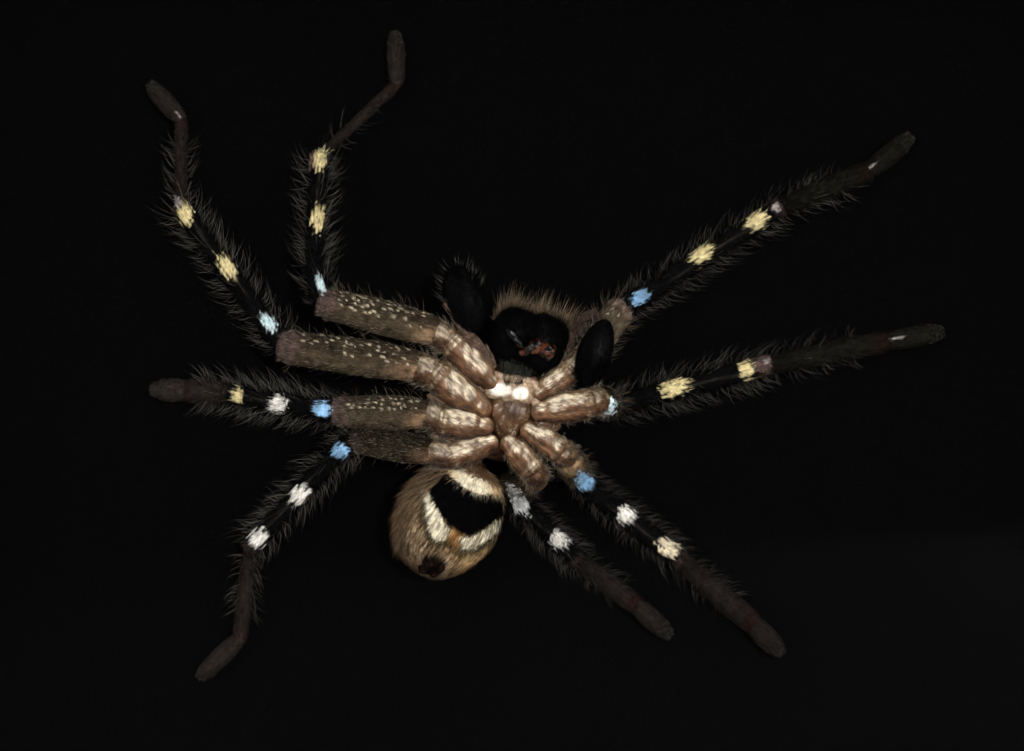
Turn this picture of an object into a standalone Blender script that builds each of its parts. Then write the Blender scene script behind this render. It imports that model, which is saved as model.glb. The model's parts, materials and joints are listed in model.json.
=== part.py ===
"""Huntsman spider specimen, underside out, on the black board of a small glazed box frame.

The frame stands on its bottom rail. +X is the viewer's right, +Z is up, and the front faces -Y.
The origin is the middle of the footprint, on the surface that the frame stands on.
Left and right are the viewer's, on the spider too.
"""

import math

import bmesh
import bpy
from mathutils import Matrix, Vector

MM = 0.001

# Driving dimensions of the frame
PICTURE_WIDTH = 152.4 * MM
PICTURE_HEIGHT = 101.6 * MM
PICTURE_CLEARANCE = 0.4 * MM
RAIL_WIDTH = 17 * MM
RAIL_DEPTH = 36 * MM
LIP_COVER = 5 * MM
LIP_DEPTH = 5 * MM
SIGHT_SLOPE_WIDTH = 3.4 * MM
SIGHT_SLOPE_DROP = 2.2 * MM
OUTER_ROUND = 2 * MM
BACK_ROUND = 0.6 * MM
ARC_STEPS = 4
TOUCH_GAP = 0.3 * MM
GLASS_THICKNESS = 2 * MM
SPACER_THICKNESS = 2.5 * MM
SPACER_DEPTH = 19 * MM
BOARD_THICKNESS = 3 * MM
PANEL_THICKNESS = 3 * MM

# Sizes that follow from them
REBATE_WIDTH = PICTURE_WIDTH + 2 * PICTURE_CLEARANCE
REBATE_HEIGHT = PICTURE_HEIGHT + 2 * PICTURE_CLEARANCE
SIGHT_WIDTH = REBATE_WIDTH - 2 * LIP_COVER
SIGHT_HEIGHT = REBATE_HEIGHT - 2 * LIP_COVER
FRAME_WIDTH = SIGHT_WIDTH + 2 * RAIL_WIDTH
FRAME_HEIGHT = SIGHT_HEIGHT + 2 * RAIL_WIDTH
CENTRE_Z = FRAME_HEIGHT / 2
FRONT_Y = -RAIL_DEPTH / 2
BACK_Y = RAIL_DEPTH / 2
LIP_BACK_Y = FRONT_Y + LIP_DEPTH
GLASS_FRONT_Y = LIP_BACK_Y + TOUCH_GAP
SPACER_FRONT_Y = GLASS_FRONT_Y + GLASS_THICKNESS + TOUCH_GAP
BOARD_FRONT_Y = SPACER_FRONT_Y + SPACER_DEPTH + TOUCH_GAP
PANEL_FRONT_Y = BOARD_FRONT_Y + BOARD_THICKNESS + TOUCH_GAP
PANEL_BACK_Y = PANEL_FRONT_Y + PANEL_THICKNESS

# Framing points: each one's place along its rail as a share, and which rails they are in
POINT_LENGTH = 13 * MM
POINT_WIDTH = 6 * MM
POINT_THICKNESS = 0.6 * MM
POINT_BITE = 4 * MM
POINT_SHARES = (-0.3, 0.3)

# Sawtooth hanger and its nails
HANGER_LENGTH = 44 * MM
HANGER_HEIGHT = 7 * MM
HANGER_THICKNESS = 1 * MM
HANGER_TEETH = 9
HANGER_PITCH = 2.4 * MM
HANGER_TOOTH = 1.2 * MM
HANGER_POCKET_DEPTH = 2.2 * MM
HANGER_POCKET_MARGIN = 0.8 * MM
NAIL_INSET = 4 * MM
NAIL_HEAD_RADIUS = 1.7 * MM
NAIL_HEAD_THICKNESS = 0.6 * MM
NAIL_SHANK_RADIUS = 0.6 * MM
NAIL_SHANK_LENGTH = 8 * MM
NAIL_SIDES = 12

# The spider. Each place is in millimetres: right and up from the board's middle as an eye that is
# EYE_DISTANCE in front of the board sees it, and then its height above the board.
EYE_DISTANCE = 400
BODY_LEAN = math.radians(23.5)
ABDOMEN_LEAN = math.radians(32)

# Each leg's joints: root, then the ends of coxa, trochanter, femur, patella, tibia, metatarsus, tarsus
LEG_JOINTS = {
    "leg_left_1": [
        (-2.2, -0.5, 10.0), (-5.9, 3.2, 9.8), (-7.8, 4.5, 9.6), (-18.8, 7.3, 8.9),
        (-19.8, 10.6, 8.2), (-19.3, 21.8, 3.8), (-11.5, 29.2, 1.7), (-11.7, 34.4, 1.3),
    ],
    "leg_left_2": [
        (-3.4, -3.1, 10.0), (-7.5, 0.0, 9.7), (-9.5, 1.0, 9.2), (-22.8, 2.9, 8.1),
        (-25.0, 5.8, 7.4), (-33.1, 16.8, 3.6), (-33.1, 25.6, 1.7), (-36.3, 29.2, 1.3),
    ],
    "leg_left_3": [
        (-3.1, -5.05, 10.0), (-6.9, -4.55, 9.8), (-8.6, -3.8, 9.6), (-17.4, -3.6, 7.8),
        (-20.2, -3.3, 6.9), (-28.4, -1.8, 3.0), (-32.2, -1.5, 1.8), (-36.2, -1.4, 1.5),
    ],
    "leg_left_4": [
        (-2.4, -6.8, 9.8), (-6.0, -8.15, 9.6), (-8.2, -7.6, 9.2), (-15.5, -6.4, 6.0),
        (-17.7, -8.0, 5.2), (-26.2, -17.2, 2.6), (-27.2, -26.3, 1.6), (-31.4, -30.3, 1.3),
    ],
    "leg_right_1": [
        (2.9, -1.7, 10.0), (5.8, 0.4, 9.5), (7.0, 1.7, 8.7), (10.8, 6.5, 3.4),
        (13.1, 7.9, 2.9), (26.8, 16.8, 2.4), (35.6, 20.4, 1.7), (40.0, 24.0, 1.3),
    ],
    "leg_right_2": [
        (3.1, -3.6, 10.0), (7.7, -2.8, 9.4), (8.9, -2.4, 8.5), (9.7, -3.2, 3.1),
        (12.3, -2.5, 2.7), (25.4, 1.0, 2.4), (37.4, 3.4, 1.8), (43.2, 4.4, 1.4),
    ],
    "leg_right_3": [
        (1.9, -5.7, 10.0), (4.6, -7.4, 9.6), (5.6, -8.3, 8.7), (6.6, -9.9, 3.3),
        (8.2, -11.6, 2.9), (16.8, -18.5, 2.5), (24.0, -24.7, 1.8), (27.0, -27.9, 1.5),
    ],
    "leg_right_4": [
        (-0.1, -7.0, 9.8), (2.0, -9.5, 9.4), (2.7, -10.6, 8.2), (-0.2, -10.9, 3.0),
        (1.5, -13.4, 2.6), (6.4, -18.4, 2.3), (12.2, -22.8, 1.7), (15.9, -26.1, 1.5),
    ],
}

# Half widths in millimetres of each leg's femur, tibia, metatarsus and tarsus
LEG_HALF_WIDTHS = {
    "leg_left_1": (1.65, 0.95, 0.55, 0.8),
    "leg_left_2": (1.7, 1.05, 0.6, 0.85),
    "leg_left_3": (1.6, 1.2, 1.2, 1.05),
    "leg_left_4": (1.5, 1.1, 0.75, 0.9),
    "leg_right_1": (1.6, 1.1, 0.95, 0.85),
    "leg_right_2": (1.6, 1.15, 1.05, 0.95),
    "leg_right_3": (1.55, 1.15, 1.1, 1.05),
    "leg_right_4": (1.3, 1.05, 1.0, 0.95),
}
COXA_HALF_WIDTH = 1.25
TROCHANTER_HALF_WIDTH = 1.2
PATELLA_HALF_WIDTH = 1.25

# Profiles of the segments: share of the length, then share of the half width there
COXA_PROFILE = [(0.0, 0.5), (0.3, 0.85), (0.65, 1.0), (0.97, 0.85)]
JOINT_PROFILE = [(0.0, 0.85), (0.5, 1.0), (1.0, 0.85)]
LIMB_PROFILE = [(0.0, 0.78), (0.2, 1.0), (0.55, 1.0), (0.85, 0.9), (1.0, 0.8)]
TARSUS_PROFILE = [(0.0, 0.7), (0.35, 1.0), (0.75, 0.95), (0.98, 0.5)]
LIMB_SIDES = 8
END_CAP_SHARE = 0.55

# Pedipalps: the stalk's route, then the dark spoon's middle, half sizes and lean
PALPS = {
    "palp_left": {
        "route": [(-2.9, 3.3, 8.3), (-4.8, 5.2, 8.6), (-6.0, 7.4, 9.2), (-5.7, 9.2, 10.2)],
        "middle": (-4.7, 7.6, 10.9),
        "half_sizes": (2.1, 3.4, 1.1),
        "lean": math.radians(-19),
    },
    "palp_right": {
        "route": [(6.1, 4.0, 8.4), (6.9, 5.7, 9.2), (8.3, 6.2, 10.2), (9.2, 4.9, 11.3)],
        "middle": (8.3, 2.3, 11.8),
        "half_sizes": (1.7, 3.4, 1.0),
        "lean": math.radians(20),
    },
}
STALK_HALF_WIDTH = 0.6

# Body: middles as places, half sizes across, along and through the body
CARAPACE_MIDDLE = (-0.4, -3.3, 4.3)
CARAPACE_HALF = (5.1, 5.3, 4.0)
STERNUM_MIDDLE = (0.3, -3.2, 8.6)
STERNUM_HALF = (1.8, 2.7, 2.7)
LABIUM_MIDDLE = (1.0, -0.8, 9.3)
LABIUM_HALF = (1.0, 1.2, 1.5)
ABDOMEN_MIDDLE = (-6.4, -14.7, 6.6)
ABDOMEN_HALF = (5.6, 6.5, 5.6)
ABDOMEN_FRONT_NARROWING = 0.14
ABDOMEN_REAR_NARROWING = 0.1
PEDICEL = [(-4.6, -11.0, 6.4), (-3.2, -8.95, 5.4)]
PEDICEL_HALF_WIDTH = 0.8
SPINNERETS = [
    [(-8.2, -18.3, 9.4), (-8.1, -18.9, 11.0)], [(-7.2, -19.0, 9.0), (-7.0, -19.5, 10.6)],
    [(-8.9, -19.2, 8.6), (-8.9, -19.9, 10.1)], [(-7.9, -19.9, 8.0), (-7.8, -20.5, 9.6)],
]
SPINNERET_HALF_WIDTH = 0.55
CHELICERAE = {
    "chelicera_left": {
        "middle": (-0.3, 4.6, 8.2),
        "fang": [(0.3, 4.0, 11.3), (1.0, 3.4, 12.0), (1.4, 2.4, 11.9), (1.3, 1.6, 11.4)],
    },
    "chelicera_right": {
        "middle": (3.5, 3.0, 8.2),
        "fang": [(3.2, 2.9, 11.3), (2.7, 2.7, 12.0), (2.2, 1.9, 11.9), (1.9, 1.2, 11.4)],
    },
}
CHELICERA_HALF = (1.75, 2.7, 3.5)
FANG_HALF_WIDTHS = (0.45, 0.36, 0.24)

# Colours, roughness and metallic value of each finish
FINISHES = {
    "stained_wood": ((0.03, 0.024, 0.02), 0.45, 0.0),
    "glass": ((0.9, 0.95, 0.95), 0.02, 0.0),
    "black_card": ((0.01, 0.01, 0.01), 0.9, 0.0),
    "hardboard": ((0.28, 0.17, 0.09), 0.8, 0.0),
    "steel": ((0.6, 0.6, 0.6), 0.35, 1.0),
    "tan_cuticle": ((0.33, 0.2, 0.12), 0.5, 0.0),
    "dark_cuticle": ((0.06, 0.045, 0.035), 0.5, 0.0),
    "black_cuticle": ((0.01, 0.009, 0.009), 0.25, 0.0),
}


def clear_scene():
    for thing in list(bpy.data.objects):
        bpy.data.objects.remove(thing, do_unlink=True)


def new_collection(name):
    collection = bpy.data.collections.new(name)
    bpy.context.scene.collection.children.link(collection)
    return collection


def finish_material(name):
    """The Principled material of a finish, made once."""
    found = bpy.data.materials.get(name)
    if found:
        return found
    colour, roughness, metallic = FINISHES[name]
    material = bpy.data.materials.new(name)
    material.use_nodes = True
    shader = material.node_tree.nodes["Principled BSDF"]
    shader.inputs["Base Color"].default_value = (*colour, 1)
    shader.inputs["Roughness"].default_value = roughness
    shader.inputs["Metallic"].default_value = metallic
    return material


def add_part(name, mesh, finish):
    """A sub-part in the specimen's collection, with its material."""
    part = bpy.data.objects.new(name, mesh)
    SPECIMEN.objects.link(part)
    mesh.materials.append(finish_material(finish))
    return part


def add_cutter(name, mesh):
    """A mesh that only cuts or joins others."""
    cutter = bpy.data.objects.new(name, mesh)
    CUTTERS.objects.link(cutter)
    cutter.hide_render = True
    cutter.display_type = "WIRE"
    return cutter


def boolean(part, other, operation):
    modifier = part.modifiers.new(f"{operation.lower()} {other.name}", "BOOLEAN")
    modifier.operation = operation
    modifier.object = other
    modifier.solver = "EXACT"


def mesh_of(name, bm, smooth=False):
    mesh = bpy.data.meshes.new(name)
    bm.to_mesh(mesh)
    bm.free()
    if smooth:
        mesh.shade_smooth()
    return mesh


def box_mesh(name, low, high):
    """A box primitive between two corners, with its size in the mesh."""
    low = Vector(low)
    high = Vector(high)
    bm = bmesh.new()
    bmesh.ops.create_cube(bm, size=1)
    bmesh.ops.scale(bm, vec=high - low, verts=bm.verts)
    bmesh.ops.translate(bm, vec=(low + high) / 2, verts=bm.verts)
    return mesh_of(name, bm)


def box_part(name, low, high, finish):
    add_part(name, box_mesh(name, low, high), finish)


def box_around(low, high, margin):
    """The corners of a box that is larger than this one by a margin on every side."""
    grow = Vector((margin, margin, margin))
    return Vector(low) - grow, Vector(high) + grow


def framing_point_corners():
    """Low and high corners of the framing points: two in each long rail, one in each short rail."""
    front = PANEL_BACK_Y + TOUCH_GAP
    back = front + POINT_THICKNESS
    corners = []
    for side in (-1, 1):
        outer = CENTRE_Z + side * (REBATE_HEIGHT / 2 + POINT_BITE)
        inner = outer - side * POINT_LENGTH
        for share in POINT_SHARES:
            x = share * REBATE_WIDTH
            low = (x - POINT_WIDTH / 2, front, min(outer, inner))
            corners.append((low, (x + POINT_WIDTH / 2, back, max(outer, inner))))
    for side in (-1, 1):
        outer = side * (REBATE_WIDTH / 2 + POINT_BITE)
        inner = outer - side * POINT_LENGTH
        low = (min(outer, inner), front, CENTRE_Z - POINT_WIDTH / 2)
        corners.append((low, (max(outer, inner), back, CENTRE_Z + POINT_WIDTH / 2)))
    return corners


def make_framing_points():
    """Flat steel points, and the slots that they bite in the rails."""
    slots = []
    for number, (low, high) in enumerate(framing_point_corners(), start=1):
        box_part(f"framing_point_{number}", low, high, "steel")
        name = f"slot_{number}"
        slots.append(add_cutter(name, box_mesh(name, *box_around(low, high, TOUCH_GAP))))
    return slots


def turned_mesh(name, profile, sides, placing):
    """A profile of (radius, height) points from pole to pole, turned about Z and then placed."""
    bm = bmesh.new()
    points = [bm.verts.new((radius, 0, height)) for radius, height in profile]
    edges = [bm.edges.new(pair) for pair in zip(points, points[1:])]
    bmesh.ops.spin(
        bm, geom=points + edges, cent=(0, 0, 0), axis=(0, 0, 1), angle=math.tau, steps=sides,
        use_merge=True,
    )
    bmesh.ops.remove_doubles(bm, verts=bm.verts, dist=1e-6)
    bmesh.ops.recalc_face_normals(bm, faces=bm.faces)
    bmesh.ops.transform(bm, matrix=placing, verts=bm.verts)
    return mesh_of(name, bm, smooth=True)


def hanger_height():
    """Height of the hanger's middle, on the wood that is left behind the top rail's rebate."""
    return CENTRE_Z + (REBATE_HEIGHT + FRAME_HEIGHT) / 4


def hanger_pocket_cutter():
    half_length = HANGER_LENGTH / 2 + HANGER_POCKET_MARGIN
    half_height = HANGER_HEIGHT / 2 + HANGER_POCKET_MARGIN
    low = (-half_length, BACK_Y - HANGER_POCKET_DEPTH, hanger_height() - half_height)
    high = (half_length, BACK_Y + HANGER_POCKET_DEPTH, hanger_height() + half_height)
    return add_cutter("hanger_pocket", box_mesh("hanger_pocket", low, high))


def nail_mesh(name, x, extra):
    """A nail from behind: shank into the wood, flat head on the hanger, all grown by extra."""
    plate_back = BACK_Y - HANGER_POCKET_DEPTH + TOUCH_GAP + HANGER_THICKNESS
    head = NAIL_HEAD_THICKNESS
    shank = NAIL_SHANK_RADIUS + extra
    profile = [
        (0, -NAIL_SHANK_LENGTH - extra), (shank, -NAIL_SHANK_LENGTH - extra),
        (shank, TOUCH_GAP), (NAIL_HEAD_RADIUS, TOUCH_GAP),
        (NAIL_HEAD_RADIUS, TOUCH_GAP + head), (0, TOUCH_GAP + head),
    ]
    if extra:
        profile = profile[:2] + [(shank, head), (0, head)]
    upright_to_back = Matrix.Rotation(math.radians(-90), 4, "X")
    placing = Matrix.Translation((x, plate_back, hanger_height())) @ upright_to_back
    return turned_mesh(name, profile, NAIL_SIDES, placing)


def hanger_outline():
    """The hanger's outline: a plain strip whose lower edge is cut into teeth in the middle."""
    half_length = HANGER_LENGTH / 2
    half_height = HANGER_HEIGHT / 2
    points = [(half_length, half_height), (-half_length, half_height), (-half_length, -half_height)]
    start = -HANGER_TEETH * HANGER_PITCH / 2
    for tooth in range(HANGER_TEETH):
        x = start + tooth * HANGER_PITCH
        points.append((x, -half_height))
        points.append((x + HANGER_PITCH / 2, -half_height + HANGER_TOOTH))
    points.append((-start, -half_height))
    points.append((half_length, -half_height))
    return points


def outline_plate(name, outline, thickness):
    """A flat plate of this outline in X and Y, centred on Z."""
    curve = bpy.data.curves.new(name, "CURVE")
    curve.dimensions = "2D"
    curve.fill_mode = "BOTH"
    curve.extrude = thickness / 2
    spline = curve.splines.new("POLY")
    spline.points.add(len(outline) - 1)
    for point, (x, y) in zip(spline.points, outline):
        point.co = (x, y, 0, 1)
    spline.use_cyclic_u = True
    drawn = bpy.data.objects.new(name + "_outline", curve)
    CUTTERS.objects.link(drawn)
    evaluated = drawn.evaluated_get(bpy.context.evaluated_depsgraph_get())
    mesh = bpy.data.meshes.new_from_object(evaluated)
    bpy.data.objects.remove(drawn, do_unlink=True)
    bm = bmesh.new()
    bm.from_mesh(mesh)
    bmesh.ops.remove_doubles(bm, verts=bm.verts, dist=1e-6)
    bmesh.ops.recalc_face_normals(bm, faces=bm.faces)
    return mesh_of(name, bm)


def make_hanger():
    """The sawtooth hanger in its pocket, held by two nails; gives the cutters for the top rail."""
    mesh = outline_plate("sawtooth_hanger", hanger_outline(), HANGER_THICKNESS)
    middle_y = BACK_Y - HANGER_POCKET_DEPTH + TOUCH_GAP + HANGER_THICKNESS / 2
    upright = Matrix.Rotation(math.radians(90), 4, "X")
    mesh.transform(Matrix.Translation((0, middle_y, hanger_height())) @ upright)
    hanger = add_part("sawtooth_hanger", mesh, "steel")
    cutters = [hanger_pocket_cutter()]
    for side, name in ((-1, "hanger_nail_left"), (1, "hanger_nail_right")):
        x = side * (HANGER_LENGTH / 2 - NAIL_INSET)
        add_part(name, nail_mesh(name, x, 0), "steel")
        hole = add_cutter(name + "_hole", nail_mesh(name + "_hole", x, TOUCH_GAP))
        boolean(hanger, hole, "DIFFERENCE")
        cutters.append(hole)
    return cutters


def arc(middle, radius, start_deg, end_deg):
    """Points of a round corner, turning from one angle to another."""
    points = []
    for step in range(ARC_STEPS + 1):
        angle = math.radians(start_deg + (end_deg - start_deg) * step / ARC_STEPS)
        points.append((middle[0] + radius * math.cos(angle), middle[1] + radius * math.sin(angle)))
    return points


def moulding_outline():
    """The bottom rail's section in Y and Z: a rounded box with a sloped lip and a rebate behind it."""
    rebate_z = RAIL_WIDTH - LIP_COVER
    outline = arc((BACK_Y - BACK_ROUND, BACK_ROUND), BACK_ROUND, 0, -90)
    outline += arc((FRONT_Y + OUTER_ROUND, OUTER_ROUND), OUTER_ROUND, -90, -180)
    outline += [
        (FRONT_Y, RAIL_WIDTH - SIGHT_SLOPE_WIDTH),
        (FRONT_Y + SIGHT_SLOPE_DROP, RAIL_WIDTH),
        (LIP_BACK_Y, RAIL_WIDTH),
        (LIP_BACK_Y, rebate_z),
        (BACK_Y, rebate_z),
    ]
    return outline


def rail(name, length, turn, cutters):
    """One moulding: mitred as the bottom rail, then turned about the frame's middle."""
    reach = (FRAME_HEIGHT if length == FRAME_WIDTH else FRAME_WIDTH) / 2
    mesh = outline_plate(name, moulding_outline(), length - TOUCH_GAP * math.sqrt(2))
    section_upright = Matrix(((0, 0, 1, 0), (1, 0, 0, 0), (0, 1, 0, 0), (0, 0, 0, 1)))
    mesh.transform(section_upright)
    for vertex in mesh.vertices:
        vertex.co.x -= math.copysign(vertex.co.z, vertex.co.x)
    turning = Matrix.Rotation(turn, 4, "Y")
    mesh.transform(Matrix.Translation((0, 0, CENTRE_Z)) @ turning @ Matrix.Translation((0, 0, -reach)))
    part = add_part(name, mesh, "stained_wood")
    for cutter in cutters:
        boolean(part, cutter, "DIFFERENCE")


def make_rails(slots, hanger_cutters):
    """The four mouldings, each cut only by what reaches into it."""
    bottom, top = slots[0:2], slots[2:4]
    left, right = slots[4:5], slots[5:6]
    rail("frame_rail_bottom", FRAME_WIDTH, 0, bottom)
    rail("frame_rail_left", FRAME_HEIGHT, math.radians(90), left)
    rail("frame_rail_top", FRAME_WIDTH, math.radians(180), top + hanger_cutters)
    rail("frame_rail_right", FRAME_HEIGHT, math.radians(-90), right)


def sheet(name, front_y, thickness, finish):
    """A board or pane of the picture size, standing in the rebate."""
    low = (-PICTURE_WIDTH / 2, front_y, CENTRE_Z - PICTURE_HEIGHT / 2)
    high = (PICTURE_WIDTH / 2, front_y + thickness, CENTRE_Z + PICTURE_HEIGHT / 2)
    box_part(name, low, high, finish)


def make_spacers():
    """Liner strips between the glass and the board; the upright ones stand between the others."""
    back_y = SPACER_FRONT_Y + SPACER_DEPTH
    for side, name in ((-1, "spacer_bottom"), (1, "spacer_top")):
        edges = sorted((side * PICTURE_HEIGHT / 2, side * (PICTURE_HEIGHT / 2 - SPACER_THICKNESS)))
        low = (-PICTURE_WIDTH / 2, SPACER_FRONT_Y, CENTRE_Z + edges[0])
        box_part(name, low, (PICTURE_WIDTH / 2, back_y, CENTRE_Z + edges[1]), "black_card")
    half_height = PICTURE_HEIGHT / 2 - SPACER_THICKNESS - TOUCH_GAP
    for side, name in ((-1, "spacer_left"), (1, "spacer_right")):
        edges = sorted((side * PICTURE_WIDTH / 2, side * (PICTURE_WIDTH / 2 - SPACER_THICKNESS)))
        low = (edges[0], SPACER_FRONT_Y, CENTRE_Z - half_height)
        box_part(name, low, (edges[1], back_y, CENTRE_Z + half_height), "black_card")


def place(right, up, height):
    """The point in space of a place on the board, drawn in towards the eye by its height."""
    nearer = 1 - height / EYE_DISTANCE
    return Vector((right * nearer * MM, BOARD_FRONT_Y - height * MM, CENTRE_Z + up * nearer * MM))


def body_placing(middle, lean):
    """Puts a shape made at the origin at a place: its Y along the body, its Z towards the eye."""
    facing = Matrix.Rotation(math.radians(90), 4, "X")
    return Matrix.Translation(place(*middle)) @ Matrix.Rotation(lean, 4, "Y") @ facing


def ellipsoid_mesh(name, middle, half_sizes, lean, rings=8, sides=14):
    """A ball stretched to half sizes across, along and through the body."""
    bm = bmesh.new()
    bmesh.ops.create_uvsphere(bm, u_segments=sides, v_segments=rings, radius=1)
    bmesh.ops.scale(bm, vec=Vector(half_sizes) * MM, verts=bm.verts)
    bmesh.ops.transform(bm, matrix=body_placing(middle, lean), verts=bm.verts)
    return mesh_of(name, bm, smooth=True)


def segment_mesh(name, start, end, half_width, profile, sides=LIMB_SIDES):
    """A turned segment between two places, with a rounded cap past each end."""
    start = place(*start)
    end = place(*end)
    length = (end - start).length
    radius = half_width * MM
    first = profile[0][1] * radius
    last = profile[-1][1] * radius
    points = [(0, profile[0][0] * length - first * END_CAP_SHARE)]
    points += [(wide * radius, share * length) for share, wide in profile]
    points.append((0, profile[-1][0] * length + last * END_CAP_SHARE))
    facing = (end - start).to_track_quat("Z", "Y").to_matrix().to_4x4()
    return turned_mesh(name, points, sides, Matrix.Translation(start) @ facing)


def fused_part(name, meshes, finish):
    """The first mesh as a part, with the others joined to it."""
    part = add_part(name, meshes[0], finish)
    for mesh in meshes[1:]:
        boolean(part, add_cutter(mesh.name, mesh), "UNION")
    return part


def make_leg(name):
    """One leg from coxa to tarsus: a turned segment between each pair of joints, fused."""
    femur, tibia, metatarsus, tarsus = LEG_HALF_WIDTHS[name]
    segments = [
        ("coxa", COXA_HALF_WIDTH, COXA_PROFILE),
        ("trochanter", TROCHANTER_HALF_WIDTH, JOINT_PROFILE),
        ("femur", femur, LIMB_PROFILE),
        ("patella", PATELLA_HALF_WIDTH, JOINT_PROFILE),
        ("tibia", tibia, LIMB_PROFILE),
        ("metatarsus", metatarsus, LIMB_PROFILE),
        ("tarsus", tarsus, TARSUS_PROFILE),
    ]
    joints = LEG_JOINTS[name]
    meshes = []
    for (part_name, half_width, profile), start, end in zip(segments, joints, joints[1:]):
        meshes.append(segment_mesh(f"{name}_{part_name}", start, end, half_width, profile))
    fused_part(name, meshes, "dark_cuticle")


def make_palp(name):
    """A pedipalp: its thin jointed stalk and the dark spoon at its end."""
    palp = PALPS[name]
    meshes = [ellipsoid_mesh(f"{name}_spoon", palp["middle"], palp["half_sizes"], palp["lean"])]
    route = palp["route"]
    for number, (start, end) in enumerate(zip(route, route[1:]), start=1):
        piece = f"{name}_stalk_{number}"
        meshes.append(segment_mesh(piece, start, end, STALK_HALF_WIDTH, JOINT_PROFILE, sides=7))
    fused_part(name, meshes, "black_cuticle")


def make_chelicera(name):
    """A jaw's swollen base and its folded fang."""
    jaw = CHELICERAE[name]
    meshes = [ellipsoid_mesh(f"{name}_base", jaw["middle"], CHELICERA_HALF, BODY_LEAN)]
    fang = jaw["fang"]
    for number, (start, end, half_width) in enumerate(zip(fang, fang[1:], FANG_HALF_WIDTHS), start=1):
        piece = f"{name}_fang_{number}"
        meshes.append(segment_mesh(piece, start, end, half_width, JOINT_PROFILE, sides=6))
    fused_part(name, meshes, "black_cuticle")


def make_cephalothorax():
    """The carapace against the board, with the sternum and labium that face the glass."""
    meshes = [
        ellipsoid_mesh("carapace", CARAPACE_MIDDLE, CARAPACE_HALF, BODY_LEAN, rings=10, sides=20),
        ellipsoid_mesh("sternum", STERNUM_MIDDLE, STERNUM_HALF, BODY_LEAN),
        ellipsoid_mesh("labium", LABIUM_MIDDLE, LABIUM_HALF, BODY_LEAN, rings=6, sides=10),
    ]
    fused_part("cephalothorax", meshes, "tan_cuticle")


def abdomen_mesh():
    """An egg that narrows a little to the pedicel and to the spinnerets."""
    bm = bmesh.new()
    bmesh.ops.create_uvsphere(bm, u_segments=20, v_segments=12, radius=1)
    for vertex in bm.verts:
        along = vertex.co.y
        narrowing = ABDOMEN_FRONT_NARROWING if along > 0 else ABDOMEN_REAR_NARROWING
        vertex.co.x *= 1 - narrowing * along * along
    bmesh.ops.scale(bm, vec=Vector(ABDOMEN_HALF) * MM, verts=bm.verts)
    bmesh.ops.transform(bm, matrix=body_placing(ABDOMEN_MIDDLE, ABDOMEN_LEAN), verts=bm.verts)
    return mesh_of("abdomen_egg", bm, smooth=True)


def make_abdomen():
    """The abdomen with its pedicel and spinnerets."""
    meshes = [abdomen_mesh()]
    meshes.append(segment_mesh("pedicel", *PEDICEL, PEDICEL_HALF_WIDTH, JOINT_PROFILE))
    for number, (start, end) in enumerate(SPINNERETS, start=1):
        piece = f"spinneret_{number}"
        meshes.append(segment_mesh(piece, start, end, SPINNERET_HALF_WIDTH, JOINT_PROFILE, sides=6))
    fused_part("abdomen", meshes, "tan_cuticle")


clear_scene()
SPECIMEN = new_collection("framed_spider_specimen")
CUTTERS = new_collection("cutters")

point_slots = make_framing_points()
make_rails(point_slots, make_hanger())
sheet("glass_pane", GLASS_FRONT_Y, GLASS_THICKNESS, "glass")
make_spacers()
sheet("backing_board", BOARD_FRONT_Y, BOARD_THICKNESS, "black_card")
sheet("back_panel", PANEL_FRONT_Y, PANEL_THICKNESS, "hardboard")

make_cephalothorax()
make_abdomen()
for jaw_name in CHELICERAE:
    make_chelicera(jaw_name)
for palp_name in PALPS:
    make_palp(palp_name)
for leg_name in LEG_JOINTS:
    make_leg(leg_name)
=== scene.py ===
"""Looks of the framed huntsman spider: dry cuticle, markings and hair, glazed box frame, soft studio."""

import json
import math

import bpy
import numpy as np
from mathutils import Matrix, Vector

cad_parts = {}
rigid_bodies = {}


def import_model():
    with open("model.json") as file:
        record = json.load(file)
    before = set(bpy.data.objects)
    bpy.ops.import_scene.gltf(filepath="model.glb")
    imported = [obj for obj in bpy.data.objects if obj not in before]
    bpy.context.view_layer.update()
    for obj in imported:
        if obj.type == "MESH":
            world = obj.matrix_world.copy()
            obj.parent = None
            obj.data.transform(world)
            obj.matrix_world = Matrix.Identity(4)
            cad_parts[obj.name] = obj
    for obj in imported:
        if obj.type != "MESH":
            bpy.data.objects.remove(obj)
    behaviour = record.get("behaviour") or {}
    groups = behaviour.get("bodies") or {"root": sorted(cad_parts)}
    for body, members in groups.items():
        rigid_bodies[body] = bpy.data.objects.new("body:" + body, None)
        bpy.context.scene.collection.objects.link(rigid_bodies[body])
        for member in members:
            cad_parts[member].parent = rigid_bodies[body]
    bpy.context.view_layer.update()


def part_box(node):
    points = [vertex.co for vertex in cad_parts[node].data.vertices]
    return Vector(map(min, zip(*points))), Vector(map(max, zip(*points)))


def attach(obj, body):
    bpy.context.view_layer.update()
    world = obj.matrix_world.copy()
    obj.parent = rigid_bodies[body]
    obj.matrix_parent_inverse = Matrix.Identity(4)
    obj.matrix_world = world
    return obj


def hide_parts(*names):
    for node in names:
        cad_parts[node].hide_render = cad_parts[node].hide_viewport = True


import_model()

MM = 0.001
RNG = np.random.default_rng(20240611)
BODY = "root"
SCENE = bpy.context.scene

# Places of the board, the glass and the frame's middle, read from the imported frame
BOARD_LOW, BOARD_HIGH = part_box("backing_board")
BOARD_FRONT_Y = BOARD_LOW[1]
GLASS_BACK_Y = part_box("glass_pane")[1][1]
CENTRE_Z = (BOARD_LOW[2] + BOARD_HIGH[2]) / 2

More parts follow.
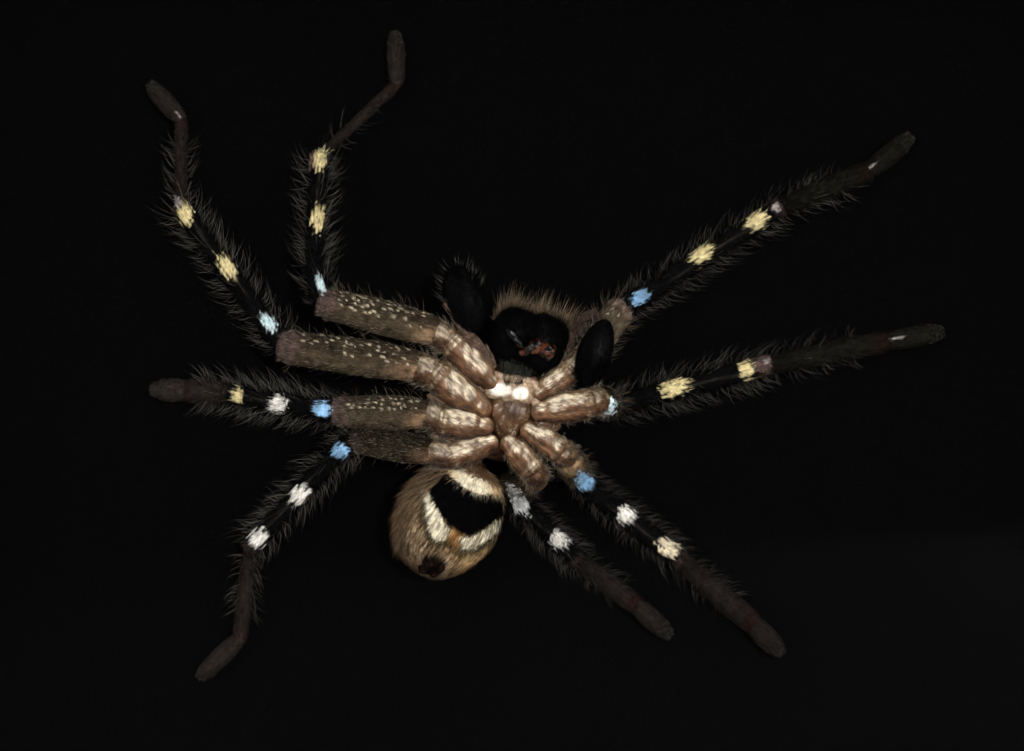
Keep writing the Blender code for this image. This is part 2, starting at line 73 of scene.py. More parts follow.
# The eye: a long lens straight in front, whose frame is 102.4 mm wide at the board
EYE_DISTANCE = 400
FIELD_WIDTH = 102.4
SENSOR_WIDTH = 36
BODY_LEAN = math.radians(23.5)
TOWARDS_EYE = np.array((0.0, -1.0, 0.0))
UPWARDS = np.array((0.0, 0.0, 1.0))

# Joints of the legs, as in the model but for the first two of leg_right_4: root, then the ends of coxa to
# tarsus, in millimetres right and up as the eye sees them on the board, then the height above the board
LEG_JOINTS = {
    "leg_left_1": [
        (-2.2, -0.5, 10.0), (-5.9, 3.2, 9.8), (-7.8, 4.5, 9.6), (-18.8, 7.3, 8.9),
        (-19.8, 10.6, 8.2), (-19.3, 21.8, 3.8), (-11.5, 29.2, 1.7), (-11.7, 34.4, 1.3),
    ],
    "leg_left_2": [
        (-3.4, -3.1, 10.0), (-7.5, 0.0, 9.7), (-9.5, 1.0, 9.2), (-22.8, 2.9, 8.1),
        (-25.0, 5.8, 7.4), (-33.1, 16.8, 3.6), (-33.1, 25.6, 1.7), (-36.3, 29.2, 1.3),
    ],
    "leg_left_3": [
        (-3.1, -5.05, 10.0), (-6.9, -4.55, 9.8), (-8.6, -3.8, 9.6), (-17.4, -3.6, 7.8),
        (-20.2, -3.3, 6.9), (-28.4, -1.8, 3.0), (-32.2, -1.5, 1.8), (-36.2, -1.4, 1.5),
    ],
    "leg_left_4": [
        (-2.4, -6.8, 9.8), (-6.0, -8.15, 9.6), (-8.2, -7.6, 9.2), (-15.5, -6.4, 6.0),
        (-17.7, -8.0, 5.2), (-26.2, -17.2, 2.6), (-27.2, -26.3, 1.6), (-31.4, -30.3, 1.3),
    ],
    "leg_right_1": [
        (2.9, -1.7, 10.0), (5.8, 0.4, 9.5), (7.0, 1.7, 8.7), (10.8, 6.5, 3.4),
        (13.1, 7.9, 2.9), (26.8, 16.8, 2.4), (35.6, 20.4, 1.7), (40.0, 24.0, 1.3),
    ],
    "leg_right_2": [
        (3.1, -3.6, 10.0), (7.7, -2.8, 9.4), (8.9, -2.4, 8.5), (9.7, -3.2, 3.1),
        (12.3, -2.5, 2.7), (25.4, 1.0, 2.4), (37.4, 3.4, 1.8), (43.2, 4.4, 1.4),
    ],
    "leg_right_3": [
        (1.9, -5.7, 10.0), (4.6, -7.4, 9.6), (5.6, -8.3, 8.7), (6.6, -9.9, 3.3),
        (8.2, -11.6, 2.9), (16.8, -18.5, 2.5), (24.0, -24.7, 1.8), (27.0, -27.9, 1.5),
    ],
    "leg_right_4": [
        (-0.1, -7.0, 9.8), (1.95, -9.3, 9.4), (2.6, -10.3, 8.2), (-0.2, -10.9, 3.0),
        (1.5, -13.4, 2.6), (6.4, -18.4, 2.3), (12.2, -22.8, 1.7), (15.9, -26.1, 1.5),
    ],
}
SEGMENTS = ("coxa", "trochanter", "femur", "patella", "tibia", "metatarsus", "tarsus")

# Half widths in millimetres of each leg's coxa, trochanter, femur, patella, tibia, metatarsus, tarsus
LEG_HALF_WIDTHS = {
    "leg_left_1": (1.4, 1.35, 1.65, 1.15, 0.95, 0.5, 0.8),
    "leg_left_2": (1.65, 1.5, 1.75, 1.2, 1.05, 0.6, 0.85),
    "leg_left_3": (1.5, 1.4, 1.6, 1.2, 1.15, 1.15, 1.05),
    "leg_left_4": (1.25, 1.3, 1.45, 1.15, 1.05, 0.75, 0.9),
    "leg_right_1": (1.15, 1.2, 1.55, 1.2, 1.05, 1.05, 0.95),
    "leg_right_2": (1.5, 1.35, 1.5, 1.2, 1.1, 1.1, 0.98),
    "leg_right_3": (1.35, 1.3, 1.5, 1.2, 1.15, 1.15, 1.05),
    "leg_right_4": (1.35, 1.25, 1.3, 1.15, 1.05, 1.0, 0.95),
}
PROFILES = {
    "coxa": [(0, 0.66), (0.15, 0.92), (0.5, 1.0), (0.82, 0.97), (0.9, 1.06), (1, 0.98)],
    "trochanter": [(0, 0.86), (0.25, 1.0), (0.7, 1.0), (1, 0.86)],
    "femur": [(0, 0.84), (0.08, 0.92), (0.3, 1.03), (0.6, 1.0), (0.88, 0.9), (0.95, 0.95), (1, 0.84)],
    "patella": [(0, 0.9), (0.45, 1.04), (1, 0.9)],
    "tibia": [(0, 0.86), (0.12, 0.98), (0.5, 1.0), (0.85, 0.96), (0.94, 1.02), (1, 0.88)],
    "metatarsus": [(0, 0.8), (0.2, 0.92), (0.6, 1.0), (0.92, 0.98), (1, 0.86)],
    "tarsus": [(0, 0.74), (0.25, 0.98), (0.55, 1.06), (0.85, 0.9), (1, 0.6)],
}
SEGMENT_RINGS = {"coxa": 36, "trochanter": 20, "femur": 76, "patella": 30, "tibia": 76, "metatarsus": 44,
                 "tarsus": 30}
SMOOTH_SEGMENTS = ("coxa", "trochanter")
BODY_SEGMENTS = ("coxa", "trochanter", "femur")
PATCHED_SEGMENTS = ("femur", "patella", "tibia")

# Hair: sides of each one, how far it thins, and the room in millimetres that it leaves to glass and board
HAIR_SIDES = 3
HAIR_TAPER = 0.75
GLASS_ROOM = 0.2
BOARD_ROOM = 0.04
FACING_TURN = 1.75  # the angle up to which a form counts as facing the eye

# Colours, linear
# The next four colours paint the coxae's light and shade: the darkest brown and the orange brown are painted shade
# on their lower sides, the tan their lit upper sides and the near white a painted highlight. The darkest brown is
# also the dark skin of folds and blotches.
GAP_AND_SHADE_BROWN = (0.045, 0.019, 0.011)
COXA_ORANGE = (0.150, 0.068, 0.028)
COXA_LIT_TAN = (0.205, 0.122, 0.063)
COXA_HIGHLIGHT_CREAM = (0.86, 0.73, 0.53)
TAN = (0.30, 0.185, 0.105)
CREAM = (0.82, 0.70, 0.50)
SPOT_CREAM = (0.52, 0.43, 0.30)
GOLD_CREAM = (0.78, 0.65, 0.34)
WHITE_CREAM = (0.90, 0.85, 0.77)
SNOW = (1.0, 0.98, 0.95)
FEMUR_BROWN = (0.056, 0.040, 0.025)
FEMUR_DARK = (0.029, 0.021, 0.013)
TIBIA_BLACK = (0.0018, 0.0017, 0.0018)
TARSUS_BROWN = (0.022, 0.017, 0.0145)
KNEE_PINK = (0.098, 0.064, 0.056)
SKY_BLUE = (0.40, 0.67, 0.97)
PALE_BLUE = (0.80, 0.97, 1.0)
SETA_GREY = (0.16, 0.143, 0.118)
BLACK = (0.0010, 0.0009, 0.0010)
# The pale knobs' grey, also painted as a highlight on the second right leg's knee dome
KNOB_AND_HIGHLIGHT_GREY = (0.42, 0.36, 0.34)
KNEE_DOME = (0.10, 0.066, 0.056)
KNEE_RIM = (0.16, 0.10, 0.08)
# A painted highlight where a tarsus joins
JOINT_PAINTED_GLINT = (0.30, 0.27, 0.24)
METATARSUS_END = (0.026, 0.010, 0.009)
TUFT_OLIVE = (0.09, 0.09, 0.066)

# Bright patches on each leg: right, up, half length along the leg, half width, colour. After a leg's main
# patches come the small pale knobs at the tibiae's ends and the thin bare glints where the tarsi join, which are
# painted highlights, and on the second right leg a dark knee dome with a small painted highlight of the knobs'
# grey
LEG_PATCHES = {
    "leg_left_1": [
        (-19.1, 9.1, 1.0, 0.36, PALE_BLUE), (-19.35, 15.6, 1.25, 0.7, GOLD_CREAM),
        (-19.3, 21.6, 1.3, 0.8, GOLD_CREAM), (-20.15, 21.6, 1.3, 0.35, KNEE_RIM),
    ],
    "leg_left_2": [
        (-24.3, 5.2, 1.05, 0.6, PALE_BLUE), (-28.5, 10.8, 1.4, 0.68, GOLD_CREAM),
        (-32.6, 16.1, 1.2, 0.75, GOLD_CREAM), (-33.5, 17.4, 0.5, 0.5, KNOB_AND_HIGHLIGHT_GREY),
        (-33.4, 26.1, 0.4, 0.13, JOINT_PAINTED_GLINT),
    ],
    "leg_left_3": [
        (-18.9, -3.4, 0.85, 0.75, SKY_BLUE), (-23.4, -2.9, 0.85, 0.95, WHITE_CREAM),
        (-27.4, -2.0, 0.6, 0.8, GOLD_CREAM),
    ],
    "leg_left_4": [
        (-17.1, -7.5, 0.8, 0.7, SKY_BLUE), (-21.2, -11.9, 1.2, 0.8, WHITE_CREAM),
        (-25.3, -16.2, 1.0, 0.9, WHITE_CREAM),
    ],
    "leg_right_1": [
        (12.8, 7.8, 1.0, 0.62, SKY_BLUE), (18.9, 12.2, 1.35, 0.95, GOLD_CREAM),
        (24.4, 15.5, 1.2, 0.9, GOLD_CREAM), (26.4, 16.8, 0.45, 0.5, KNOB_AND_HIGHLIGHT_GREY),
        (36.1, 21.0, 0.45, 0.14, JOINT_PAINTED_GLINT),
    ],
    "leg_right_2": [
        (9.5, -3.1, 1.0, 0.9, PALE_BLUE), (16.1, -1.2, 1.5, 0.95, GOLD_CREAM),
        (23.4, 0.6, 0.75, 1.0, GOLD_CREAM), (38.5, 3.7, 0.9, 0.13, JOINT_PAINTED_GLINT),
        # the dark knee dome, then a painted highlight on it
        (25.0, 1.1, 0.9, 1.1, KNEE_DOME), (25.5, 1.4, 0.35, 0.4, KNOB_AND_HIGHLIGHT_GREY),
    ],
    "leg_right_3": [
        (7.2, -10.5, 0.9, 0.85, SKY_BLUE), (11.4, -13.9, 0.95, 0.95, WHITE_CREAM),
        (15.6, -17.2, 1.2, 0.9, CREAM),
    ],
    "leg_right_4": [
        (0.55, -12.25, 1.6, 0.62, SNOW), (4.7, -16.3, 0.95, 0.95, WHITE_CREAM),
    ],
}

# Pale spots on a femur: rows as angles from the eye towards the upper side, and spots in a row
SPOT_ROWS = {
    "leg_left_1": ((0.05, 0.35, 0.65, 0.95, 1.25), 12), "leg_left_2": ((0.1, 0.4, 0.75, 1.15), 12),
    "leg_left_3": ((0.3, 0.6, 0.95), 10), "leg_right_1": ((0.0, 0.5, 1.0), 5),
}
FEMUR_TONES = {
    "leg_left_4": 0.45, "leg_right_2": 0.35, "leg_right_3": 1.4, "leg_right_4": 0.5, "leg_right_1": 2.6,
}
# The far ends of the right legs lie darker, the upper two with an olive cast
END_TONES = {
    "leg_right_1": (0.42, 0.49, 0.42), "leg_right_2": (0.46, 0.53, 0.46), "leg_right_3": (0.75, 0.75, 0.75),
    "leg_right_4": (0.8, 0.8, 0.8), "leg_left_3": (1.3, 1.3, 1.3),
}


def place(right, up, height):
    """The point in space of a place on the board, drawn in towards the eye by its height."""
    nearer = 1 - height / EYE_DISTANCE
    return np.array((right * nearer * MM, BOARD_FRONT_Y - height * MM, CENTRE_Z + up * nearer * MM))


def seen_from_eye(points):
    """Where the eye sees these points on the board, in millimetres right and up."""
    height = (BOARD_FRONT_Y - points[..., 1]) / MM
    nearer = 1 - height / EYE_DISTANCE
    right = points[..., 0] / MM / nearer
    up = (points[..., 2] - CENTRE_Z) / MM / nearer
    return right, up


def unit(vectors):
    length = np.linalg.norm(vectors, axis=-1, keepdims=True)
    return vectors / np.maximum(length, 1e-12)


def ripple(points, size, seed):
    """Smooth noise between -1 and 1: a few sine waves in fixed random directions, size in millimetres."""
    waves = np.random.default_rng(seed)
    total = np.zeros(points.shape[:-1])
    for _ in range(6):
        direction = unit(waves.normal(size=3)) * math.tau / (size * MM) * waves.uniform(0.6, 1.6)
        total += np.sin(points @ direction + waves.uniform(0, math.tau))
    return total / 3.2


def ease(low, high, value):
    """0 at the low value, 1 at the high one and smooth in between."""
    share = np.clip((value - low) / (high - low), 0, 1)
    return share * share * (3 - 2 * share)


def mix(first, second, share):
    share = np.asarray(share)[..., None]
    return np.asarray(first) * (1 - share) + np.asarray(second) * share


def tone(colour, factor):
    """Colours or directions, each multiplied by a factor of its own."""
    return np.asarray(colour) * np.asarray(factor)[..., None]


def jitter(number, amount):
    """Random turns for the ways of hairs."""
    return RNG.normal(size=(number, 3)) * amount


def drawn(values, number):
    """Random values between the two ends of a tuple, or else the values as they are."""
    return RNG.uniform(*values, number) if isinstance(values, tuple) else np.broadcast_to(values, number)


class Spindle:
    """A turned form on a straight axis: share runs from root to tip, angle 0 faces the eye."""

    deep = 1.0

    def __init__(self, start, end, half_width, profile, caps=(0.6, 0.6), relief=None):
        self.start = place(*start)
        run = place(*end) - self.start
        self.length = float(np.linalg.norm(run))
        self.axis = run / self.length
        front = TOWARDS_EYE - self.axis * float(TOWARDS_EYE @ self.axis)
        if np.linalg.norm(front) < 0.35:
            front = UPWARDS - self.axis * float(UPWARDS @ self.axis)
        self.front = unit(front)
        self.side = np.cross(self.axis, self.front)
        self.radius = half_width * MM
        self.shares, self.widths = np.array(profile, float).T
        self.caps = (
            caps[0] * self.radius * self.widths[0] / self.length,
            caps[1] * self.radius * self.widths[-1] / self.length,
        )
        self.relief = relief

    def width(self, share):
        """Radius along the axis, smooth between the profile's points and rounded off past both ends."""
        inside = np.clip(share, 0, 1)
        reach = 0.03
        spread = sum(np.interp(inside + step, self.shares, self.widths) for step in (-reach, 0, reach)) / 3
        past = np.where(share < 0, -share / self.caps[0], np.where(share > 1, (share - 1) / self.caps[1], 0))
        return spread * self.radius * np.sqrt(np.clip(1 - past * past, 1e-4, 1))

    def at(self, share, angle):
        share, angle = np.broadcast_arrays(share, angle)
        width = self.width(share)
        if self.relief is not None:
            width = width * (1 + self.relief(share, angle))
        middle = self.start + tone(self.axis, self.length * share)
        across = tone(self.front, np.cos(angle) * self.deep) + tone(self.side, np.sin(angle))
        return middle + tone(across, width)

    def surface(self, share, angle):
        """Points and outward normals at these places."""
        step = 1e-3
        along = self.at(share + step, angle) - self.at(share - step, angle)
        around = self.at(share, angle + step) - self.at(share, angle - step)
        return self.at(share, angle), unit(np.cross(around, along))

    def grid(self, rings, sides):
        """Shares and angles of a closed grid, denser in the rounded ends."""
        low, high = -self.caps[0], 1 + self.caps[1]
        even = np.linspace(0, 1, rings)
        eased = 0.5 - 0.5 * np.cos(even * math.pi)
        shares = low + (high - low) * (0.45 * eased + 0.55 * even)
        angles = np.arange(sides) * math.tau / sides
        return np.broadcast_arrays(shares[:, None], angles[None, :])


def add_object(name, data):
    item = bpy.data.objects.new(name, data)
    SCENE.collection.objects.link(item)
    return item


class Pile:
    """Collects points, faces and colours of one piece, then makes it."""

    def __init__(self, name, material):
        self.name, self.material = name, material
        self.points, self.colours = [], []
        self.faces = {4: [], 3: []}
        self.count = 0

    def add(self, points, colours, *faces):
        for corners in faces:
            self.faces[corners.shape[1]].append(corners + self.count)
        self.points.append(points.reshape(-1, 3))
        self.colours.append(colours.reshape(-1, 3))
        self.count += len(self.points[-1])

    def add_skin(self, form, colouring, rings, sides):
        """A form's closed surface, coloured by a function of point, normal, share and angle."""
        shares, angles = form.grid(rings, sides)
        points, normals = form.surface(shares, angles)
        colours = colouring(points, normals, shares, angles)
        index = np.arange(rings * sides).reshape(rings, sides)
        following = np.roll(index, -1, axis=1)
        quads = np.stack((index[:-1], following[:-1], following[1:], index[1:]), axis=-1).reshape(-1, 4)
        pole = np.full(sides, rings * sides)
        first = np.stack((following[0], index[0], pole), axis=-1)
        last = np.stack((index[-1], following[-1], pole + 1), axis=-1)
        rows, shades = [
            np.concatenate((values.reshape(-1, 3), values[:1].mean(axis=1), values[-1:].mean(axis=1)))
            for values in (points, colours)
        ]
        self.add(rows, shades, quads, np.concatenate((first, last)))

    def add_hairs(self, roots, ways, bends, lengths, radii, colours, rings=1, tip_colours=None):
        """Tapered closed hairs: each leaves its root along its way and curves towards its bend."""
        number, sides = len(roots), HAIR_SIDES
        if not number:
            return
        lengths = drawn(lengths, number)[:, None] * MM
        radii = drawn(radii, number)[:, None] * MM
        ways = unit(ways)
        first = unit(np.cross(ways, np.where(np.abs(ways[:, 1:2]) < 0.8, TOWARDS_EYE, UPWARDS)))
        second = np.cross(ways, first)
        layers, triangles = [], []
        for ring in range(rings):
            share = ring / rings
            middle = roots + ways * lengths * share + bends * lengths * share * share
            thin = radii * (1 - HAIR_TAPER * share)
            for side in range(sides):
                turn = math.tau * side / sides
                layers.append(middle + (first * math.cos(turn) + second * math.sin(turn)) * thin)
                if ring < rings - 1:
                    a, b = ring * sides + side, ring * sides + (side + 1) % sides
                    triangles += [(a, b, b + sides), (a, b + sides, a + sides)]
        layers.append(roots + ways * lengths + bends * lengths)
        points = np.stack(layers, axis=1)
        points[..., 1] = np.clip(points[..., 1], GLASS_BACK_Y + GLASS_ROOM * MM, BOARD_FRONT_Y - BOARD_ROOM * MM)
        tip = rings * sides
        triangles += [(tip - sides + side, tip - sides + (side + 1) % sides, tip) for side in range(sides)]
        triangles += [(0, side + 1, side) for side in range(1, sides - 1)]
        offsets = (np.arange(number) * (tip + 1))[:, None, None]
        colours = np.broadcast_to(colours, (number, 3))
        tips = colours if tip_colours is None else np.broadcast_to(tip_colours, (number, 3))
        shares = np.append(np.repeat(np.arange(rings) / rings, sides), 1.0)
        shades = np.stack([mix(colours, tips, np.full(number, share)) for share in shares], axis=1)
        self.add(points, shades, (np.array(triangles)[None] + offsets).reshape(-1, 3))

    def make(self, slot, node):
        """The finished piece, which rides on the body and stands in for a node of the frame."""
        points = np.concatenate(self.points)
        faces = self.faces[4] + self.faces[3]
        mesh = bpy.data.meshes.new(self.name)
        mesh.vertices.add(len(points))
        mesh.vertices.foreach_set("co", points.astype(np.float32).ravel())
        corners = np.concatenate([rows.ravel() for rows in faces]).astype(np.int32)
        mesh.loops.add(len(corners))
        mesh.loops.foreach_set("vertex_index", corners)
        sizes = np.concatenate([np.full(len(rows), rows.shape[1]) for rows in faces])
        mesh.polygons.add(len(sizes))
        mesh.polygons.foreach_set("loop_start", (np.cumsum(sizes) - sizes).astype(np.int32))
        mesh.update(calc_edges=True)
        mesh.validate()
        tint = mesh.color_attributes.new("tint", "FLOAT_COLOR", "POINT")
        shades = np.pad(np.clip(np.concatenate(self.colours), 0, 1), ((0, 0), (0, 1)), constant_values=1)
        tint.data.foreach_set("color", shades.astype(np.float32).ravel())
        mesh.shade_smooth()
        mesh.materials.append(self.material)
        piece = add_object(self.name, mesh)
        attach(piece, BODY)
        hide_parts(node)


def new_piles(name, **materials):
    """Empty piles, each named by the name and its own ending."""
    return [Pile(f"{name}_{ending}", material) for ending, material in materials.items()]


def make_all(piles, slot, node):
    for pile in piles:
        pile.make(slot, node)


def feed(tree, node, *sockets, **inputs):
    """Links sockets to a node's first inputs, then links or sets others; From_Min is the input From Min."""
    for socket, target in zip(sockets, node.inputs):
        tree.links.new(socket, target)
    for key, value in inputs.items():
        socket = node.inputs[key.replace("_", " ")]
        if isinstance(value, bpy.types.NodeSocket):
            tree.links.new(value, socket)
        else:
            socket.default_value = value
    return node


def add_node(tree, kind, *sockets, **inputs):
    return feed(tree, tree.nodes.new("ShaderNode" + kind), *sockets, **inputs)


def new_material(name):
    material = bpy.data.materials.new(name)
    material.use_nodes = True
    tree = material.node_tree
    return material, tree, tree.nodes["Principled BSDF"]


def mottled(tree, colour, scale, low, high, detail, stretch):
    """This colour, made darker and lighter by noise between two factors, and the noise itself."""
    where = add_node(tree, "TexCoord").outputs["Object"]
    stretched = add_node(tree, "Mapping", Scale=stretch, Vector=where).outputs["Vector"]
    noise = add_node(tree, "TexNoise", Scale=scale, Detail=detail, Roughness=0.6, Vector=stretched).outputs["Fac"]
    factor = add_node(tree, "MapRange", From_Min=0.3, From_Max=0.7, To_Min=low, To_Max=high, Value=noise)
    product = add_node(tree, "VectorMath", colour, factor.outputs["Result"])
    product.operation = "MULTIPLY"
    return product.outputs["Vector"], noise


def make_material(name, colour, scale, low, high, roughness, spread, bump, specular=0.5, index=1.5,
                  stretch=(1, 1, 1), metallic=0.0):
    """A mottled surface with uneven gloss and a fine grain, in one colour or, without one, in the piece's tint."""
    material, tree, shader = new_material(name)
    if colour:
        detail, depth = 6.0, 0.15
        source = add_node(tree, "RGB").outputs[0]
        source.default_value = (*colour, 1)
    else:
        detail, depth = 4.0, 0.05
        attribute = add_node(tree, "Attribute")
        attribute.attribute_name = "tint"
        source = attribute.outputs["Color"]
    shade, noise = mottled(tree, source, scale, low, high, detail, stretch)
    gloss = add_node(tree, "MapRange", To_Min=roughness - spread, To_Max=roughness + spread, Value=noise)
    if bump:
        grain = add_node(tree, "Bump", Strength=bump, Distance=depth * MM, Height=noise)
        feed(tree, shader, Normal=grain.outputs["Normal"])
    feed(tree, shader, Base_Color=shade, Roughness=gloss.outputs["Result"], Specular_IOR_Level=specular, IOR=index,
         Metallic=metallic)
    return material


CUTICLE = make_material("cuticle", None, 900, 0.55, 1.4, 0.42, 0.12, 1.0, 0.4)
DARK_CUTICLE = make_material("dark_cuticle", None, 1400, 0.6, 1.5, 0.75, 0.1, 0.3, 0.1, 1.09)
SHINY_BLACK = make_material("shiny_black_cuticle", None, 600, 0.6, 1.5, 0.34, 0.06, 0.1, 0.3, 1.07)
FANG_GLOSS = make_material("fang_gloss", None, 900, 0.7, 1.3, 0.15, 0.05, 0.2, 0.5)
HAIR = make_material("hair", None, 900, 0.75, 1.25, 0.45, 0.08, 0.0, 0.3, 1.4)
DARK_HAIR = make_material("dark_hair", None, 900, 0.75, 1.25, 0.85, 0.08, 0.0, 0.05, 1.03)
VELVET = make_material("abdomen_skin", None, 1500, 0.55, 1.4, 0.8, 0.12, 0.6, 0.1, 1.06)


def streaks(share, angle, seed=0.0, sway=1.0):
    """Fine lengthwise lines between 0 and 1, which wander slowly along a limb."""
    wander = sway * (0.5 * np.sin(share * 9 + seed) + 0.3 * np.sin(share * 23 + seed * 2))
    coarse = np.sin(angle * 9 + wander * 3 + seed) + np.sin(angle * 17 - wander * 5)
    return 0.5 + (coarse + np.sin(angle * 27 + wander * 8)) / 6


def leg_rim(share, angle):
    """A raised ring near a segment's far end and a faint lengthwise fluting."""
    ring = 0.05 * np.exp(-((share - 0.93) / 0.025) ** 2) - 0.06 * np.exp(-((share - 0.985) / 0.02) ** 2)
    return ring + 0.03 * (streaks(share, angle, 5.0) - 0.5)


def coxa_lumps(share, angle):
    """The rim, with soft dents and a furrow along the segment."""
    dents = 0.035 * np.sin(share * 8 + angle * 2) + 0.03 * np.sin(angle * 3 - share * 6 + 1)
    return leg_rim(share, angle) + dents - 0.05 * np.exp(-((angle - 0.35) / 0.22) ** 2)


def trochanter_rings(share, angle):
    return 0.014 * np.sin(share * 24 + angle) + 0.03 * np.sin(angle * 5 + share * 6)


CAPS = {"coxa": (1.3, 0.55), "tarsus": (0.55, 1.2)}
TARSUS_TIP = 0.75  # how far the rounded tip is drawn back, in half widths
RELIEFS = {"coxa": coxa_lumps, "femur": leg_rim, "trochanter": trochanter_rings}


def leg_forms(name):
    """The seven segments of a leg as spindles."""
    joints = LEG_JOINTS[name]
    forms = {}
    for number, segment in enumerate(SEGMENTS):
        half_width = LEG_HALF_WIDTHS[name][number]
        start, end = np.array(joints[number]), np.array(joints[number + 1])
        if segment == "tarsus":
            end = end - unit(end - start) * TARSUS_TIP * half_width
        forms[segment] = Spindle(
            start, end, half_width, PROFILES[segment],
            caps=CAPS.get(segment, (0.55, 0.55)), relief=RELIEFS.get(segment),
        )
    return forms


def patch_masks(name, points, normals, line):
    """How strongly each bright patch of this leg covers these points, with frayed edges."""
    right, up = seen_from_eye(points)
    facing = ease(-0.15, 0.25, normals @ TOWARDS_EYE)
    joints = np.array([joint[:2] for joint in LEG_JOINTS[name]])
    middles = (joints[3:-1] + joints[4:]) / 2
    masks = []
    for patch_right, patch_up, half_length, half_width, colour in LEG_PATCHES[name]:
        nearest = int(np.argmin(np.hypot(middles[:, 0] - patch_right, middles[:, 1] - patch_up)))
        run = unit(joints[nearest + 4] - joints[nearest + 3])
        along = ((right - patch_right) * run[0] + (up - patch_up) * run[1]) / half_length
        across = (-(right - patch_right) * run[1] + (up - patch_up) * run[0]) / half_width
        fray = 0.27 * ripple(points, 0.5, 41) + 0.75 * (line - 0.5)
        masks.append((ease(1.0, 0.72, np.hypot(along, across) + fray) * facing, colour))
    return masks


def spot_places(name):
    """Share, angle, half length and half width in millimetres of each pale spot of a femur."""
    if name not in SPOT_ROWS:
        return []
    rows, columns = SPOT_ROWS[name]
    chance = np.random.default_rng(len(rows) * 100 + columns)
    upper = 1 if "left" in name else -1
    spots = []
    for row_number, row in enumerate(rows):
        for column in range(columns):
            if chance.random() < 0.3:
                continue
            share = 0.06 + 0.84 * (column + 0.5 * (row_number % 2) + chance.uniform(-0.32, 0.32)) / columns
            angle = upper * (row + chance.uniform(-0.15, 0.15))
            spots.append((share, angle, chance.uniform(0.08, 0.2), chance.uniform(0.06, 0.12)))
    return spots


def spot_mask(form, spots, share, angle, points):
    mask = np.zeros(np.broadcast(share, angle).shape)
    fray = 0.35 * ripple(points, 0.22, 53) if spots else 0
    for spot_share, spot_angle, half_length, half_width in spots:
        along = (share - spot_share) * form.length / MM / half_length
        turned = (angle - spot_angle + math.pi) % math.tau - math.pi
        across = turned * form.radius / MM / half_width
        mask = np.maximum(mask, ease(1.25, 0.7, np.hypot(along, across) + fray))
    return mask


def coxa_colour(segment, points, normals, share, angle):
    """Coxa and trochanter: painted shade in orange brown below, lit tan above, and a streaky near white painted
    highlight.
    """
    rise = normals @ UPWARDS
    # painted light: faces turned about 30 degrees above the eye, towards the key light, count as lit
    lit = 0.5 * rise + 0.87 * (normals @ TOWARDS_EYE)
    blotch = ripple(points, 0.8, 11)
    fine = streaks(share, angle, 2.0, sway=0.4) + 0.14 * ripple(points, 0.3, 13)
    # painted shade: darker brown and orange brown on the lower sides, tan on the upper ones
    shade = mix(GAP_AND_SHADE_BROWN, COXA_ORANGE, ease(-0.85, -0.2, rise + 0.1 * blotch))
    shade = mix(shade, COXA_LIT_TAN, ease(-0.25, 0.4, rise + 0.2 * blotch))
    shade = tone(shade, 0.42 + 0.95 * fine + 0.22 * blotch + 0.08 * ripple(points, 0.35, 15))
    # painted highlight: a broken near white band on the faces turned most towards the key light
    broken = 0.3 + 0.7 * ease(0.2, 0.75, fine + 0.12 * blotch)
    gleam = ease(0.84, 0.985, lit + 0.07 * blotch) * broken
    if segment == "trochanter":
        shade = tone(shade, 0.68 + 0.1 * np.sin(share * 17 + 2 * angle + 1.0))
        gleam = gleam * 0.45
    shade = mix(shade, COXA_HIGHLIGHT_CREAM, gleam * 0.9)
    rim = np.exp(-((share - 0.93) / 0.03) ** 2) * ease(-0.3, 0.3, normals @ TOWARDS_EYE)
    return mix(shade, CREAM, 0.25 * rim * ease(0.4, 0.6, fine))


def femur_colour(name, form, points, normals, share, angle):
    """Femur: dark above with rows of pale spots, grey brown fur below, pinkish knee."""
    fine = streaks(share, angle, 1.0) + 0.15 * ripple(points, 0.35, 19)
    rise = normals @ UPWARDS
    shade = mix(FEMUR_BROWN, FEMUR_DARK, ease(-0.25, 0.3, rise + 0.3 * (fine - 0.5)))
    tan_end = ease(0.28, 0.0, share) * ease(0.35, -0.4, rise)
    blotch = ripple(points, 1.3, 51)
    shade = tone(mix(shade, tone(TAN, 0.7), tan_end), 0.65 + 0.7 * fine + 0.3 * blotch)
    knee = ease(0.83, 0.97, share + 0.1 * (fine - 0.5) + 0.03 * blotch) * (0.8 if "left" in name else 0.5)
    shade = mix(shade, tone(KNEE_PINK, 0.55 + 0.5 * fine), knee) * FEMUR_TONES.get(name, 1.0)
    return mix(shade, SPOT_CREAM, spot_mask(form, spot_places(name), share, angle, points))


def leg_colour(name, segment, form, points, normals, share, angle):
    """Skin colour of one place on a leg."""
    if segment in ("coxa", "trochanter"):
        return coxa_colour(segment, points, normals, share, angle)
    fine = streaks(share, angle, 3.0)
    if segment == "femur":
        shade = femur_colour(name, form, points, normals, share, angle)
    elif segment in ("patella", "tibia"):
        shade = mix(TIBIA_BLACK, tone(TIBIA_BLACK, 2.2), fine)
        line = np.exp(-((angle - 0.1 - 0.1 * np.sin(share * 9)) / 0.09) ** 2) * ease(0.1, 0.3, share)
        shade = mix(shade, tone(SETA_GREY, 0.12), line * ease(0.95, 0.8, share))
        if segment == "tibia":
            shade = mix(shade, tone(KNEE_PINK, 0.1 + 0.6 * fine), ease(0.93, 1.0, share) * 0.6)
    else:
        shade = mix(tone(TARSUS_BROWN, 0.6), TARSUS_BROWN, fine + 0.2 * ripple(points, 0.5, 7))
        if segment == "metatarsus":
            shade = tone(shade, ease(-0.5, 0.45, share))
            shade = mix(shade, METATARSUS_END, ease(0.8, 1.0, share) * 0.6)
        else:
            shade = shade * 1.2
        shade = shade * np.array(END_TONES.get(name, (1, 1, 1)))
    for mask, colour in patch_masks(name, points, normals, fine):
        shade = mix(shade, colour, mask)
    return shade


